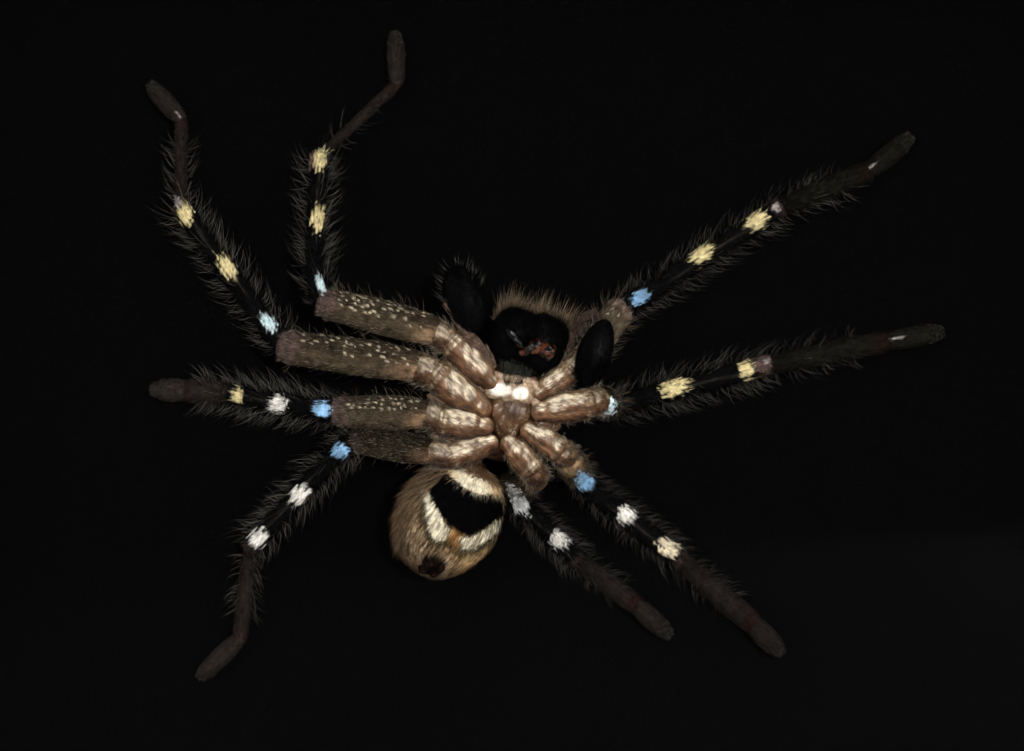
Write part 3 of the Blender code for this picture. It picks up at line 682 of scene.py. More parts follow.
def scatter(form, number, facing=0.8, low=0.0, high=1.0):
    """Random places on a form, most of them on the side that faces the eye."""
    share = RNG.uniform(low, high, number)
    front = RNG.random(number) < facing
    angle = np.where(front, RNG.uniform(-FACING_TURN, FACING_TURN, number),
                     RNG.uniform(FACING_TURN, math.tau - FACING_TURN, number))
    return *form.surface(share, angle), share, angle


def coat(hairs, form, number, tint, lift, loose, lengths, radii, bend=0.2, along=1.0, facing=0.8, low=0.0,
         rings=1):
    """Hair all over a form, in one colour or in those of a function of point, normal, share and angle."""
    where = scatter(form, number, facing, low)
    points, normals = where[:2]
    colours = tint(*where) if callable(tint) else tint
    ways = form.axis * along + normals * lift
    if loose:
        ways = ways + jitter(number, loose)
    hairs.add_hairs(points, ways, -normals * bend, lengths, radii, colours, rings)


# Short lying hair of each segment: number, length in millimetres, how far it stands off
PILE = {"coxa": (1500, 0.5, 0.3), "trochanter": (600, 0.55, 0.5), "femur": (3600, 0.6, 0.4),
        "patella": (520, 0.65, 0.7), "tibia": (1500, 0.7, 0.7), "metatarsus": (1500, 0.6, 0.9),
        "tarsus": (1100, 0.5, 0.9)}
SHORT_FEMUR_PILE = (1800, 0.8, 0.5)
PALE_STRANDS = {"coxa": 0.4, "trochanter": 0.45, "femur": 0.5}


def leg_pile(hairs, name, segment, form):
    """The short hair of a segment, in the colour of the skin under it, with some paler strands."""
    short = segment == "femur" and "left" not in name
    number, length, lift = SHORT_FEMUR_PILE if short else PILE[segment]
    where = scatter(form, number, low=0.02, high=1.02)
    points, normals = where[:2]
    base = tone(leg_colour(name, segment, form, *where), RNG.uniform(0.3, 1.9, number))
    colours = mix(base, CREAM, RNG.random(number) ** 5 * PALE_STRANDS.get(segment, 0.02))
    ways = form.axis + normals * lift + jitter(number, 0.2)
    hairs.add_hairs(points - normals * 0.03 * MM, ways, -normals * 0.25, length * RNG.uniform(0.6, 1.3, number),
                    (0.014, 0.028), colours)


# Long setae: number, length in millimetres, share of the segment that bears them
SETAE = {"femur": (70, 1.5, 1.0), "patella": (80, 1.9, 1.0), "tibia": (310, 2.3, 1.0),
         "metatarsus": (90, 2.0, 0.75), "trochanter": (100, 1.0, 1.0), "coxa": (90, 0.8, 1.0)}


def leg_setae(hairs, name, segment, form):
    """Long fine setae that stand out on both sides of a segment and curve towards its tip."""
    number, length, borne = SETAE[segment]
    if name == "leg_left_1" and segment == "metatarsus":
        number = 24
    share = RNG.uniform(0.02, 0.98, number) * borne
    side = np.where(RNG.random(number) < 0.5, 1.0, -1.0)
    if segment == "femur" and "left" in name:
        side = np.where(RNG.random(number) < 0.8, 1.0, -1.0)
    elif segment == "femur":
        number, length = 130, 1.8
        share = RNG.uniform(0.02, 0.98, number)
        side = RNG.choice((-1.0, 1.0), number)
    angle = side * RNG.normal(1.35, 0.45, number)
    points, normals = form.surface(share, angle)
    ways = normals + tone(form.axis, RNG.normal(0.15, 0.25, number)) + jitter(number, 0.16)
    bends = tone(form.axis, RNG.uniform(0.2, 0.8, number)) - normals * 0.15
    lengths = length * RNG.uniform(0.35, 1.2, number)
    shade = tone(SETA_GREY, 0.12 + 1.3 * RNG.random(number) ** 2)
    if "left" in name and segment in ("patella", "tibia"):
        lengths = lengths * RNG.uniform(0.8, 1.3, number)
    if name in ("leg_right_3", "leg_right_4"):
        lengths, shade = lengths * 0.8, shade * 0.6
    elif "right" in name:
        shade = shade * 0.75
    if segment in SMOOTH_SEGMENTS:
        shade = tone(CREAM, RNG.uniform(0.05, 0.6, number))
    elif segment == "femur":
        shade = shade * np.array((1.5, 1.2, 0.9))
    hairs.add_hairs(points - normals * 0.05 * MM, ways, bends, lengths, (0.014, 0.026), shade * 0.4, rings=3,
                    tip_colours=shade * 1.3)


def spot_tufts(hairs, name, form):
    """A small tuft of cream scale hairs on each spot of a femur."""
    number = 11
    for share, angle, half_length, half_width in spot_places(name):
        shares = share + RNG.uniform(-1, 0.4, number) * half_length * MM / form.length
        angles = angle + RNG.uniform(-1, 1, number) * half_width * MM / form.radius
        points, normals = form.surface(shares, angles)
        ways = form.axis + normals * 0.2 + RNG.normal(size=3) * 0.35 + jitter(number, 0.2)
        shades = tone(np.array(SPOT_CREAM) * RNG.uniform(0.5, 1.4), RNG.uniform(0.6, 1.35, number))
        hairs.add_hairs(points, ways, -normals * 0.2, (0.2, 0.5), (0.02, 0.032), shades)


def patch_scales(hairs, name, form):
    """Broad bright scale hairs that make the patches stand out."""
    points, normals, share, angle = scatter(form, 3600, facing=1.0, low=-0.05, high=1.05)
    for mask, colour in patch_masks(name, points, normals, streaks(share, angle, 3.0)):
        kept = (mask > 0.45) & (RNG.random(len(mask)) < 0.55)
        number = int(kept.sum())
        ways = form.axis + normals[kept] * 0.22 + jitter(number, 0.12)
        shades = tone(colour, RNG.uniform(0.55, 1.15, number))
        hairs.add_hairs(points[kept], ways, -normals[kept] * 0.2, (0.35, 0.65), (0.025, 0.04), shades)


def white_tuft(hairs, form):
    """Scale hairs that stand up from the patella's white patch towards the eye."""
    points, normals, _, _ = scatter(form, 520, facing=1.0, low=-0.1, high=0.75)
    right, up = seen_from_eye(points)
    kept = np.hypot((right - 0.6) / 0.65, (up + 12.35) / 1.15) < 1
    number = int(kept.sum())
    ways = TOWARDS_EYE + form.axis * 0.8 + normals[kept] * 0.2 + jitter(number, 0.15)
    shades = tone(SNOW, RNG.uniform(0.8, 1.0, number))
    hairs.add_hairs(points[kept], ways, form.axis * 0.1, (0.9, 1.5), 0.035, shades)


def claw_tuft(hairs, form):
    """The dense soft tuft at the tarsus tip."""
    number = 420
    points, normals, _, _ = scatter(form, number, facing=0.6, low=0.8, high=1.0 + form.caps[1] * 0.9)
    ways = form.axis * 0.5 + normals * 0.8 + jitter(number, 0.15)
    shades = mix(TARSUS_BROWN, TUFT_OLIVE, RNG.random(number) ** 2)
    hairs.add_hairs(points, ways, form.axis * 0.1, (0.15, 0.4), (0.016, 0.026), shades)


def make_leg(name):
    """One leg: its jointed skin, and its hair as pieces of their own on it."""
    forms = leg_forms(name)
    near, far, hairs, dark_hairs = new_piles(
        name, near_skin=CUTICLE, far_skin=DARK_CUTICLE, hair=HAIR, dark_hair=DARK_HAIR)
    for segment, form in forms.items():
        def colouring(*where, segment=segment, form=form):
            return leg_colour(name, segment, form, *where)
        by_body = segment in BODY_SEGMENTS
        skin = near if segment in SMOOTH_SEGMENTS else far
        skin.add_skin(form, colouring, SEGMENT_RINGS[segment], 60 if by_body else 32)
        leg_pile(hairs if by_body else dark_hairs, name, segment, form)
        if segment in SETAE:
            leg_setae(hairs, name, segment, form)
        if segment in PATCHED_SEGMENTS:
            patch_scales(hairs, name, form)
    spot_tufts(hairs, name, forms["femur"])
    if name == "leg_right_4":
        white_tuft(hairs, forms["patella"])
    claw_tuft(dark_hairs, forms["tarsus"])
    make_all((near, far, hairs, dark_hairs), "leg_cuticle", name)


for leg_name in LEG_JOINTS:
    make_leg(leg_name)


# Body: shield, breastplate, mouth parts, abdomen and palps


class Lobe(Spindle):
    """An egg-shaped form, by its middle and its half sizes across, along and towards the eye."""

    def __init__(self, middle, half, lean, narrowing=(0.0, 0.0), relief=None, boxy=2.0):
        across, along, deep = half
        self.boxy = boxy
        centre = place(*middle)
        self.axis = np.array((math.sin(lean), 0.0, math.cos(lean)))
        self.length = 2 * along * MM
        self.start = centre - self.axis * along * MM
        self.front = TOWARDS_EYE
        self.side = np.cross(self.axis, self.front)
        self.radius = across * MM
        self.deep = deep / across
        self.narrowing = narrowing
        self.relief = relief

    def width(self, share):
        along = np.clip(2 * share - 1, -1, 1)
        rear, front = self.narrowing
        rounded = np.clip(1 - np.abs(along) ** self.boxy, 1e-4, 1) ** (1 / self.boxy)
        return self.radius * rounded * (1 - front * np.maximum(along, 0) - rear * np.maximum(-along, 0))

    def grid(self, rings, sides):
        shares = 0.5 - 0.5 * np.cos(np.linspace(0, math.pi, rings))
        angles = np.arange(sides) * math.tau / sides
        return np.broadcast_arrays(shares[:, None], angles[None, :])


def inside_distance(right, up, outline):
    """Distance in millimetres to a closed outline as the eye sees it, above zero inside it."""
    away = np.full(right.shape, 1e9)
    inside = np.zeros(right.shape, bool)
    for (x0, y0), (x1, y1) in zip(outline, outline[1:] + outline[:1]):
        run_x, run_y = x1 - x0, y1 - y0
        share = np.clip(((right - x0) * run_x + (up - y0) * run_y) / (run_x ** 2 + run_y ** 2), 0, 1)
        away = np.minimum(away, np.hypot(right - x0 - share * run_x, up - y0 - share * run_y))
        crossing = (y0 > up) != (y1 > up)
        inside ^= crossing & (right < x0 + (up - y0) * run_x / (run_y or 1e-9))
    return np.where(inside, away, -away)


BROWN_SHADE = (0.012, 0.006, 0.004)
SHIELD_BROWN = (0.22, 0.105, 0.056)
BREAST_TAN = (0.092, 0.042, 0.016)
MOUTH_TAN = (0.30, 0.19, 0.11)
FUR_TAN = (0.36, 0.235, 0.13)
FUR_GOLD = (0.86, 0.56, 0.27)
FUR_DARK = (0.026, 0.017, 0.010)
FUR_PALE = (0.70, 0.54, 0.35)
BADGE_BLACK = (0.0016, 0.0016, 0.0017)
BADGE_CREAM = (0.84, 0.74, 0.54)
OLIVE = (0.045, 0.034, 0.013)
ORANGE_BROWN = (0.36, 0.18, 0.060)
BAND_ORANGE = (0.62, 0.36, 0.14)
FANG_ORANGE = (0.105, 0.031, 0.013)
FRINGE_TAN = (0.30, 0.21, 0.13)
PLATE_BROWN = (0.12, 0.066, 0.034)
STALK_TAN = (0.17, 0.115, 0.085)
STALK_MAROON = (0.070, 0.032, 0.028)
SPINNERET_DARK = (0.006, 0.004, 0.003)
SPINNERET_SHADE = (0.010, 0.006, 0.004)
SPINNERET_HAIR = (0.012, 0.008, 0.005)
GOLD_GAPS = (0.20, 0.11, 0.045)
GOLD_GLEAM = (1.0, 0.80, 0.50)
PAD_HIGHLIGHT_WHITE = (0.93, 0.86, 0.74)
MOUTH_HAIR = (0.004, 0.004, 0.004)
MOUTH_HAIR_TIP = (0.16, 0.17, 0.13)
FANG_HAIR = (0.004, 0.003, 0.003)
CHELICERA_HAIR = (0.0018, 0.0016, 0.0015)

# The abdomen's markings, as the eye sees them on the board
BADGE = [
    (-9.6, -9.2), (-6.8, -9.4), (-5.6, -10.4), (-4.5, -11.3), (-3.2, -11.9), (0.2, -11.8), (0.1, -13.4),
    (-1.5, -14.5), (-2.9, -15.4), (-4.2, -16.0), (-5.3, -15.7), (-6.3, -14.9), (-7.2, -13.9), (-8.2, -12.5),
    (-8.8, -11.1),
]
FRONT_BAND = [
    (-6.7, -8.9), (-5.6, -9.0), (-4.1, -9.9), (-1.8, -11.0), (-0.5, -11.0), (-0.7, -11.9), (-3.2, -11.8),
    (-4.6, -11.3), (-5.9, -10.1),
]
FRONT_PLATE = [(-5.2, -8.2), (-0.2, -8.4), (-0.4, -10.8), (-1.8, -10.8), (-4.1, -9.7), (-5.2, -9.0)]
LEFT_ARM = [
    (-9.1, -10.6), (-8.7, -12.6), (-8.5, -14.3), (-8.1, -15.9), (-7.5, -16.7), (-6.6, -16.4), (-6.1, -15.5),
    (-6.8, -14.8), (-7.3, -13.8), (-7.9, -12.8), (-8.5, -11.4),
]
RIGHT_ARM = [
    (-5.3, -16.3), (-4.9, -17.4), (-3.7, -17.3), (-2.3, -16.3), (-1.2, -15.4), (-0.9, -14.4), (-1.6, -14.6),
    (-2.5, -15.3), (-3.9, -16.1),
]
ORANGE_MIDDLE = [(-6.6, -15.6), (-6.0, -15.2), (-5.3, -15.9), (-4.9, -16.5), (-5.3, -17.2), (-6.3, -16.8)]
SPINNERET_FIELD = [
    (-9.2, -18.6), (-8.6, -17.9), (-7.4, -17.8), (-6.6, -18.4), (-6.6, -19.5), (-7.5, -20.1), (-8.8, -19.9),
]
SPINNERETS = [
    ((-8.2, -18.3, 9.4), (-8.1, -18.9, 11.0)), ((-7.2, -18.8, 9.0), (-7.0, -19.2, 10.6)),
    ((-8.9, -19.1, 8.6), (-8.9, -19.6, 10.1)), ((-7.9, -19.6, 8.0), (-7.8, -20.0, 9.6)),
]

ABDOMEN_LEAN = math.radians(32)
ABDOMEN = Lobe((-6.25, -14.3, 6.5), (4.95, 5.95, 5.3), ABDOMEN_LEAN, (0.12, 0.12), boxy=2.35)


def fur_streaks(points, form):
    """Random lengthwise streaks of the fur, of two widths."""
    local = np.stack([(points - form.start) @ way for way in (form.side, form.front, form.axis * 0.2)], axis=-1)
    return 0.5 + 0.3 * ripple(local, 0.75, 61) + 0.3 * ripple(local, 0.3, 62)


def abdomen_colour(points, normals, *_):
    """The abdomen's fur colours: tan flanks, black badge, cream band and V, dark borders."""
    right, up = seen_from_eye(points)
    fray = 0.12 * ripple(points, 0.45, 5) + 0.08 * ripple(points, 0.2, 6)
    facing = ease(-0.1, 0.1, normals @ TOWARDS_EYE)

    def cover(outline, soft=0.12):
        return ease(-soft, soft, inside_distance(right, up, outline) + fray) * facing

    streak = fur_streaks(points, ABDOMEN)
    gold = ease(-7.5, -4.5, right + 0.3 * (up + 17)) * ease(-14, -17, up)
    base = mix(FUR_TAN, FUR_GOLD, gold)
    dark = mix(FUR_DARK, GOLD_GAPS, gold)
    pale = mix(FUR_PALE, GOLD_GLEAM, gold)
    shade = mix(mix(dark, base, ease(0.1, 0.6, streak)), pale, ease(0.6, 1.0, streak))
    arms = np.maximum(inside_distance(right, up, LEFT_ARM), inside_distance(right, up, RIGHT_ARM))
    arms = np.maximum(arms, inside_distance(right, up, ORANGE_MIDDLE))
    shade = mix(shade, OLIVE, ease(-0.75, -0.25, arms + fray) * facing)
    shade = mix(shade, PLATE_BROWN, cover(FRONT_PLATE, 0.3))
    shade = mix(shade, BADGE_BLACK, cover(BADGE))
    cracks = ease(0.55, 0.9, ripple(points, 0.35, 17))
    cream = mix(BADGE_CREAM, ORANGE_BROWN, 0.5 * cracks)
    ends = ease(1.2, 2.4, np.abs(right + 3.9))
    shade = mix(shade, mix(cream, BAND_ORANGE, 0.65 * ends), cover(FRONT_BAND))
    shade = mix(shade, ORANGE_BROWN, cover(ORANGE_MIDDLE, 0.3) * (0.35 + 0.65 * ease(0.2, 0.6, streak)))
    streaky = tone(cream, 0.5 + 0.75 * ease(0.1, 0.8, streak))
    shade = mix(mix(shade, streaky, cover(LEFT_ARM)), streaky, cover(RIGHT_ARM))
    return mix(shade, SPINNERET_SHADE, cover(SPINNERET_FIELD, 0.2))


def combed_back(normals, lift, loose):
    """Ways of hair that lies on the abdomen towards its rear."""
    lying = -ABDOMEN.axis + tone(normals, np.sum(ABDOMEN.axis * normals, axis=1))
    return unit(lying) + normals * lift + jitter(len(normals), loose)


def long_strands(fur):
    """Long loose strands over the left flank and past its outline."""
    number = 1300
    turns = -RNG.uniform(0.7, 1.75, number)
    shares = RNG.uniform(0.1, 0.97, number)
    points, normals = ABDOMEN.surface(shares, turns)
    shades = tone(mix(FUR_TAN, FUR_DARK, RNG.random(number)), RNG.uniform(0.5, 1.3, number))
    fur.add_hairs(points, combed_back(normals, 0.35, 0.12), -normals * 0.05, (1.0, 2.2), (0.018, 0.03), shades,
                  rings=2)


def short_fur(fur, dark_fur):
    """The abdomen's dense lying fur, in the colours of the skin under it."""
    number = 15000
    turns = RNG.uniform(0, math.tau, number)
    shares = 0.5 - 0.5 * np.cos(np.arccos(RNG.uniform(-1, 1, number)))
    points, normals = ABDOMEN.surface(shares, turns)
    colours = abdomen_colour(points, normals)
    dark = colours.sum(axis=1) < 0.05
    colours = tone(colours, RNG.uniform(0.3, 1.8, number))
    ways = combed_back(normals, 0.28, 0.1)
    bright = colours.sum(axis=1) > 1.2
    lengths = RNG.uniform(0.7, 1.35, number) * np.where(dark | bright, 0.5, 1.0)
    for pile, chosen in ((fur, ~dark), (dark_fur, dark)):
        pile.add_hairs(points[chosen] - normals[chosen] * 0.04 * MM, ways[chosen], -normals[chosen] * 0.1,
                       lengths[chosen], (0.02, 0.036), colours[chosen])


def fading(first, second):
    """A colouring that goes from one colour to another along a form."""
    return lambda points, normals, share, angle: mix(first, second, share)


def make_abdomen():
    skin, fur, dark_fur = new_piles("abdomen", skin=VELVET, fur=HAIR, dark_fur=DARK_HAIR)
    skin.add_skin(ABDOMEN, abdomen_colour, 120, 200)
    stalk = Spindle((-4.9, -11.2, 6.4), (-3.2, -8.9, 5.4), 0.8, [(0, 1), (0.5, 0.85), (1, 1)])
    skin.add_skin(stalk, fading(SHIELD_BROWN, BROWN_SHADE), 20, 20)
    for start, end in SPINNERETS:
        spinneret = Spindle(start, end, 0.5, [(0, 1), (0.6, 0.85), (0.63, 0.75), (1, 0.5)])
        skin.add_skin(spinneret, fading(SPINNERET_DARK, BROWN_SHADE), 24, 18)
        coat(fur, spinneret, 90, SPINNERET_HAIR, 0.4, 0, 0.45, 0.02, low=0.1, rings=2)
    short_fur(fur, dark_fur)
    long_strands(fur)
    make_all((skin, fur, dark_fur), "abdomen_hair", "abdomen")


def shield_colour(points, *_):
    grain = 0.5 + 0.5 * ripple(points, 0.6, 21)
    return mix(mix(BROWN_SHADE, SHIELD_BROWN, grain), tone(TAN, 0.8), ease(0.75, 1.0, grain) * 0.5)


def breast_colour(points, *_):
    """The breastplate: brown with darker blotches, fine short streaks and a few painted highlights."""
    broad = ripple(points, 1.2, 23)
    fine = 0.5 + 0.5 * ripple(points * np.array((2.2, 1, 1)), 0.4, 25)
    shade = mix(GAP_AND_SHADE_BROWN, BREAST_TAN, 0.4 + 0.6 * ease(-0.7, 0.3, broad + 0.9 * (fine - 0.5)))
    # painted highlights in the coxae's near white
    return mix(shade, COXA_HIGHLIGHT_CREAM, 0.42 * ease(-0.1, 0.6, broad) * ease(0.6, 0.95, fine))


def mouth_colour(points, *_):
    """Maxillae and labium: tan rims, and two pads painted near white as highlights."""
    right, up = seen_from_eye(points)
    grain = ripple(points, 0.4, 29)
    # painted highlights: two near white pads on the maxillae
    left_pad = np.hypot((right + 1.15) / 1.15, (up + 1.45) / 0.7)
    right_pad = np.hypot((right - 0.85) / 0.85, (up + 1.8) / 0.7)
    pads = ease(1.15, 0.7, np.minimum(left_pad, right_pad) + 0.1 * grain)
    return mix(mix(MOUTH_TAN, CREAM, 0.4 * ease(0.0, 0.8, grain)), PAD_HIGHLIGHT_WHITE, pads)


def breast_relief(share, angle):
    """Dents towards the leg roots, along the breastplate's edge."""
    rounded = np.sin(np.clip(share, 0, 1) * math.pi) ** 2
    return (0.05 * np.cos(angle * 8 + 1) + 0.03 * np.sin(share * 11 + angle * 3)) * rounded


# The tan collar in front of the maxillae, from the first left coxa round to the second right one
COLLAR = [(-3.1, 0.5, 9.7), (-1.9, 0.1, 10.1), (-0.5, -0.25, 10.2), (1.1, -0.45, 10.2), (2.2, -0.75, 10.1),
          (2.5, -1.8, 10.1), (2.35, -2.9, 10.0)]
COLLAR_WIDTH = 0.42

# Folds of soft hairy skin that fill the gaps between neighbouring coxae, from the breastplate outwards
FOLDS = [
    ((-2.6, -1.9, 8.7), (-6.6, 1.2, 8.5)), ((-3.1, -4.2, 8.7), (-8.0, -2.2, 8.4)),
    ((-2.9, -6.0, 8.7), (-7.6, -6.1, 8.3)), ((2.9, -2.7, 8.7), (5.2, -1.5, 8.3)),
    ((2.8, -4.7, 8.7), (4.3, -5.0, 8.2)), ((1.3, -6.5, 8.6), (2.7, -7.9, 8.2)),
]
FOLD_WIDTH = 0.95


def fold_colour(points, *_):
    return mix(GAP_AND_SHADE_BROWN, COXA_ORANGE, 0.5 + 0.5 * ripple(points, 0.45, 71)) * 1.3


def brightened(colouring, low, high, number):
    """A colouring whose values are made brighter by random factors."""
    return lambda *where: tone(colouring(*where), RNG.uniform(low, high, number))


def make_cephalothorax():
    skin, hairs = new_piles("cephalothorax", skin=CUTICLE, hair=HAIR)
    shield = Lobe((-0.4, -3.3, 4.3), (5.1, 5.3, 4.0), BODY_LEAN, (0.05, 0.12))
    breast = Lobe((-0.1, -3.75, 8.5), (2.4, 3.0, 2.0), math.radians(12), (0.4, 0.0), relief=breast_relief)
    maxillae = (Lobe((-1.35, -1.15, 9.75), (1.15, 1.5, 1.0), math.radians(62), (0.1, 0.0)),
                Lobe((1.15, -1.55, 9.75), (1.05, 1.45, 1.0), math.radians(-25), (0.1, 0.0)))
    labium = Lobe((-0.15, -1.6, 10.0), (1.1, 1.15, 0.75), BODY_LEAN)
    skin.add_skin(shield, shield_colour, 44, 60)
    skin.add_skin(breast, breast_colour, 50, 60)
    for form in (*maxillae, labium):
        skin.add_skin(form, mouth_colour, 40, 44)
    for start, end in zip(COLLAR, COLLAR[1:]):
        part = Spindle(start, end, COLLAR_WIDTH, [(0, 1), (0.5, 1.05), (1, 1)], caps=(0.9, 0.9))
        skin.add_skin(part, mouth_colour, 16, 20)
    for start, end in FOLDS:
        fold = Spindle(start, end, FOLD_WIDTH, [(0, 1), (0.6, 0.9), (1, 0.6)], (0.9, 0.9), trochanter_rings)
        skin.add_skin(fold, fold_colour, 24, 28)
        coat(hairs, fold, 240, brightened(fold_colour, 0.6, 2.4, 240), 0.6, 0.3, (0.4, 0.9), (0.016, 0.028))
    for form, number, colour, low in ((shield, 2600, shield_colour, 0.0), (breast, 900, breast_colour, 0.05)):
        coat(hairs, form, number, brightened(colour, 1.0, 2.2, number), 0.4, 0.3, (0.4, 0.8), (0.02, 0.035),
             facing=0.7, low=low)
    for form in maxillae:
        number = 300
        points, *_ = scatter(form, number, low=0.7)
        ways = np.array((0.25, -0.1, 1.0)) + jitter(number, 0.35)
        hairs.add_hairs(points, ways, TOWARDS_EYE * 0.15, RNG.uniform(0.8, 2.2, number),
                        RNG.uniform(0.018, 0.03, number), MOUTH_HAIR, rings=3,
                        tip_colours=tone(MOUTH_HAIR_TIP, RNG.random(number) ** 3))
    make_all((skin, hairs), "body_cuticle", "cephalothorax")


CHELICERAE = {
    "chelicera_left": {
        "base": Lobe((0.3, 3.9, 8.2), (2.65, 2.8, 3.3), BODY_LEAN, (0.0, 0.04), boxy=2.5),
        "fang_colour": BLACK, "fang_widths": (0.42, 0.34, 0.2),
        "fang": [(-0.3, 4.5, 11.3), (0.35, 3.7, 12.0), (0.95, 2.9, 11.9), (1.5, 2.5, 11.4)],
    },
    "chelicera_right": {
        "base": Lobe((2.95, 3.1, 8.2), (2.6, 2.95, 3.3), BODY_LEAN, (0.0, 0.04), boxy=2.7),
        "fang_colour": FANG_ORANGE, "fang_widths": (0.8, 0.72, 0.45),
        "fang": [(3.7, 2.3, 11.0), (2.6, 2.9, 11.6), (1.9, 2.7, 11.9), (0.9, 2.2, 11.5)],
    },
}


def fang_lumps(share, angle):
    return 0.09 * np.sin(angle * 2 + share * 5) + 0.04 * np.sin(angle * 5 - share * 9)


def black_colour(points, *_):
    return mix(BLACK, tone(BLACK, 2.2), 0.5 + 0.5 * ripple(points, 0.8, 31))


def covered(points, lobe):
    """True where the eye sees these points inside a lobe's outline."""
    away = points - lobe.start - lobe.axis * lobe.length / 2
    return np.hypot(away @ lobe.side / lobe.radius, away @ lobe.axis / lobe.length * 2) < 1.02


def fringe(hairs, base, other):
    """Tan hair on a chelicera's outer upper edge, kept off the other chelicera."""
    number = 2600
    share = RNG.uniform(0.6, 1.0, number)
    angle = RNG.uniform(1.2, math.tau - 1.2, number)
    points, normals = base.surface(share, angle)
    kept = ~covered(points, other)
    number, share, points, normals = int(kept.sum()), share[kept], points[kept], normals[kept]
    ways = normals * 0.7 + base.axis * 1.1 + TOWARDS_EYE * 0.12 + jitter(number, 0.42)
    shades = tone(FRINGE_TAN, RNG.uniform(0.15, 1.2, number))
    lengths = RNG.uniform(0.3, 1.4, number) + (RNG.random(number) < 0.2) * RNG.uniform(0.4, 1.7, number)
    hairs.add_hairs(points, ways, base.axis * 0.15, lengths * ease(0.5, 0.85, share), (0.014, 0.026),
                    shades * 0.5, rings=2, tip_colours=shades)


def make_chelicera(name, other):
    """A glossy black basal segment with its fang and fringe."""
    data = CHELICERAE[name]
    skin, fangs, hairs, dark_hairs = new_piles(
        name, skin=SHINY_BLACK, fang=FANG_GLOSS, hair=HAIR, dark_hair=DARK_HAIR)
    base, route = data["base"], data["fang"]

    def fang_colour(points, normals, *_):
        lit = ease(-0.7, 0.6, ripple(points, 0.9, 37)) * ease(0.1, 0.75, normals @ TOWARDS_EYE)
        return mix(BLACK, data["fang_colour"], lit)

    skin.add_skin(base, black_colour, 60, 70)
    for start, end, width in zip(route, route[1:], data["fang_widths"]):
        fang = Spindle(start, end, width, [(0, 1.1), (0.5, 1), (1, 0.75)], relief=fang_lumps)
        fangs.add_skin(fang, fang_colour, 40, 36)
        coat(dark_hairs, fang, 45, FANG_HAIR, 0.5, 1.0, (0.4, 0.9), 0.02, along=0)
    fringe(hairs, base, CHELICERAE[other]["base"])
    coat(dark_hairs, base, 900, CHELICERA_HAIR, 0.6, 0.35, (0.3, 0.9), 0.022, bend=0.3, along=0.9, facing=0.9,
         low=0.1)
    make_all((skin, fangs, hairs, dark_hairs), "black_cuticle", name)


# Each palp's last entry puts a painted highlight on its spoon: right, up and how light grey its hairs turn there
PALPS = {
    "palp_left": {
        "route": [(-2.0, 0.9, 9.2), (-3.0, 2.5, 9.8), (-4.4, 4.0, 10.8), (-6.45, 7.1, 11.1), (-6.2, 8.6, 10.7)],
        "spoon": ((-4.7, 7.6, 10.9), (2.1, 3.4, 1.1)), "lean": math.radians(-19), "wisp": 1.0, "tone": 1.1,
        "wisp_start": 0.55, "painted_glint": (-4.4, 8.8, 0.010),
    },
    "palp_right": {
        "route": [(4.9, 0.7, 9.0), (6.0, 3.6, 8.8), (6.8, 5.7, 9.4), (8.3, 6.2, 10.2), (9.2, 4.9, 11.3)],
        "spoon": ((8.3, 2.3, 11.8), (1.7, 3.4, 1.0)), "lean": math.radians(20), "wisp": -1.0, "tone": 0.4,
        "wisp_start": 0.5, "painted_glint": (8.8, 2.7, 0.055),
    },
}
STALK_WIDTHS = (0.6, 0.5, 0.36, 0.36)


def stalk_colour(points, normals, *_):
    grain = 0.5 + 0.5 * ripple(points, 0.5, 43)
    return mix(STALK_MAROON, STALK_TAN, grain * ease(-0.6, 0.4, normals @ TOWARDS_EYE))


def spoon_lumps(share, angle):
    return 0.01 * np.sin(angle * 11 + share * 9)


def make_palp(name):
    """A palp: jointed hairy stalk and the black spoon at its end."""
    data = PALPS[name]

    def stalk_hair(*where):
        return mix(stalk_colour(*where), FRINGE_TAN, RNG.random(330) ** 3) * data["tone"]

    skin, hairs, dark_hairs = new_piles(name, skin=SHINY_BLACK, hair=HAIR, dark_hair=DARK_HAIR)
    for start, end, width in zip(data["route"], data["route"][1:], STALK_WIDTHS):
        limb = Spindle(start, end, width, [(0, 0.85), (0.5, 1), (0.9, 0.95), (1, 0.85)])
        skin.add_skin(limb, lambda *where: stalk_colour(*where) * data["tone"], 36, 24)
        coat(hairs, limb, 330, stalk_hair, 0.5, 0, (0.4, 0.9), (0.02, 0.032))
    spoon = Lobe(*data["spoon"], data["lean"], (0.08, 0.12), relief=spoon_lumps)
    skin.add_skin(spoon, black_colour, 60, 64)
    number = 1500
    points, normals, _, _ = scatter(spoon, number, facing=0.65)
    right, up = seen_from_eye(points)
    # painted highlight: the spoon's hairs turn lighter grey round one place
    glint_right, glint_up, grey = data["painted_glint"]
    painted_glint = grey * np.exp(-((right - glint_right) / 0.45) ** 2 - ((up - glint_up) / 0.8) ** 2)
    ways = spoon.axis * data["wisp"] + normals * 0.35 + jitter(number, 0.15)
    shades = tone(tone((1.0, 0.98, 0.96), 0.0012 + painted_glint), RNG.uniform(0.4, 1.8, number))
    dark_hairs.add_hairs(points, ways, -normals * 0.25, (0.35, 0.7), 0.022, shades)
    number = 60
    share = RNG.uniform(data["wisp_start"], 1.0, number)
    angle = np.where(RNG.random(number) < 0.5, 1, -1) * RNG.normal(1.57, 0.3, number)
    points, normals = spoon.surface(share, angle)
    ways = normals + spoon.axis * 0.6 + jitter(number, 0.2)
    shades = tone(SETA_GREY, RNG.uniform(0.15, 0.9, number))
    hairs.add_hairs(points, ways, spoon.axis * 0.2, (0.5, 1.5), 0.02, shades * 0.6, rings=3, tip_colours=shades)
    make_all((skin, hairs, dark_hairs), "black_cuticle", name)


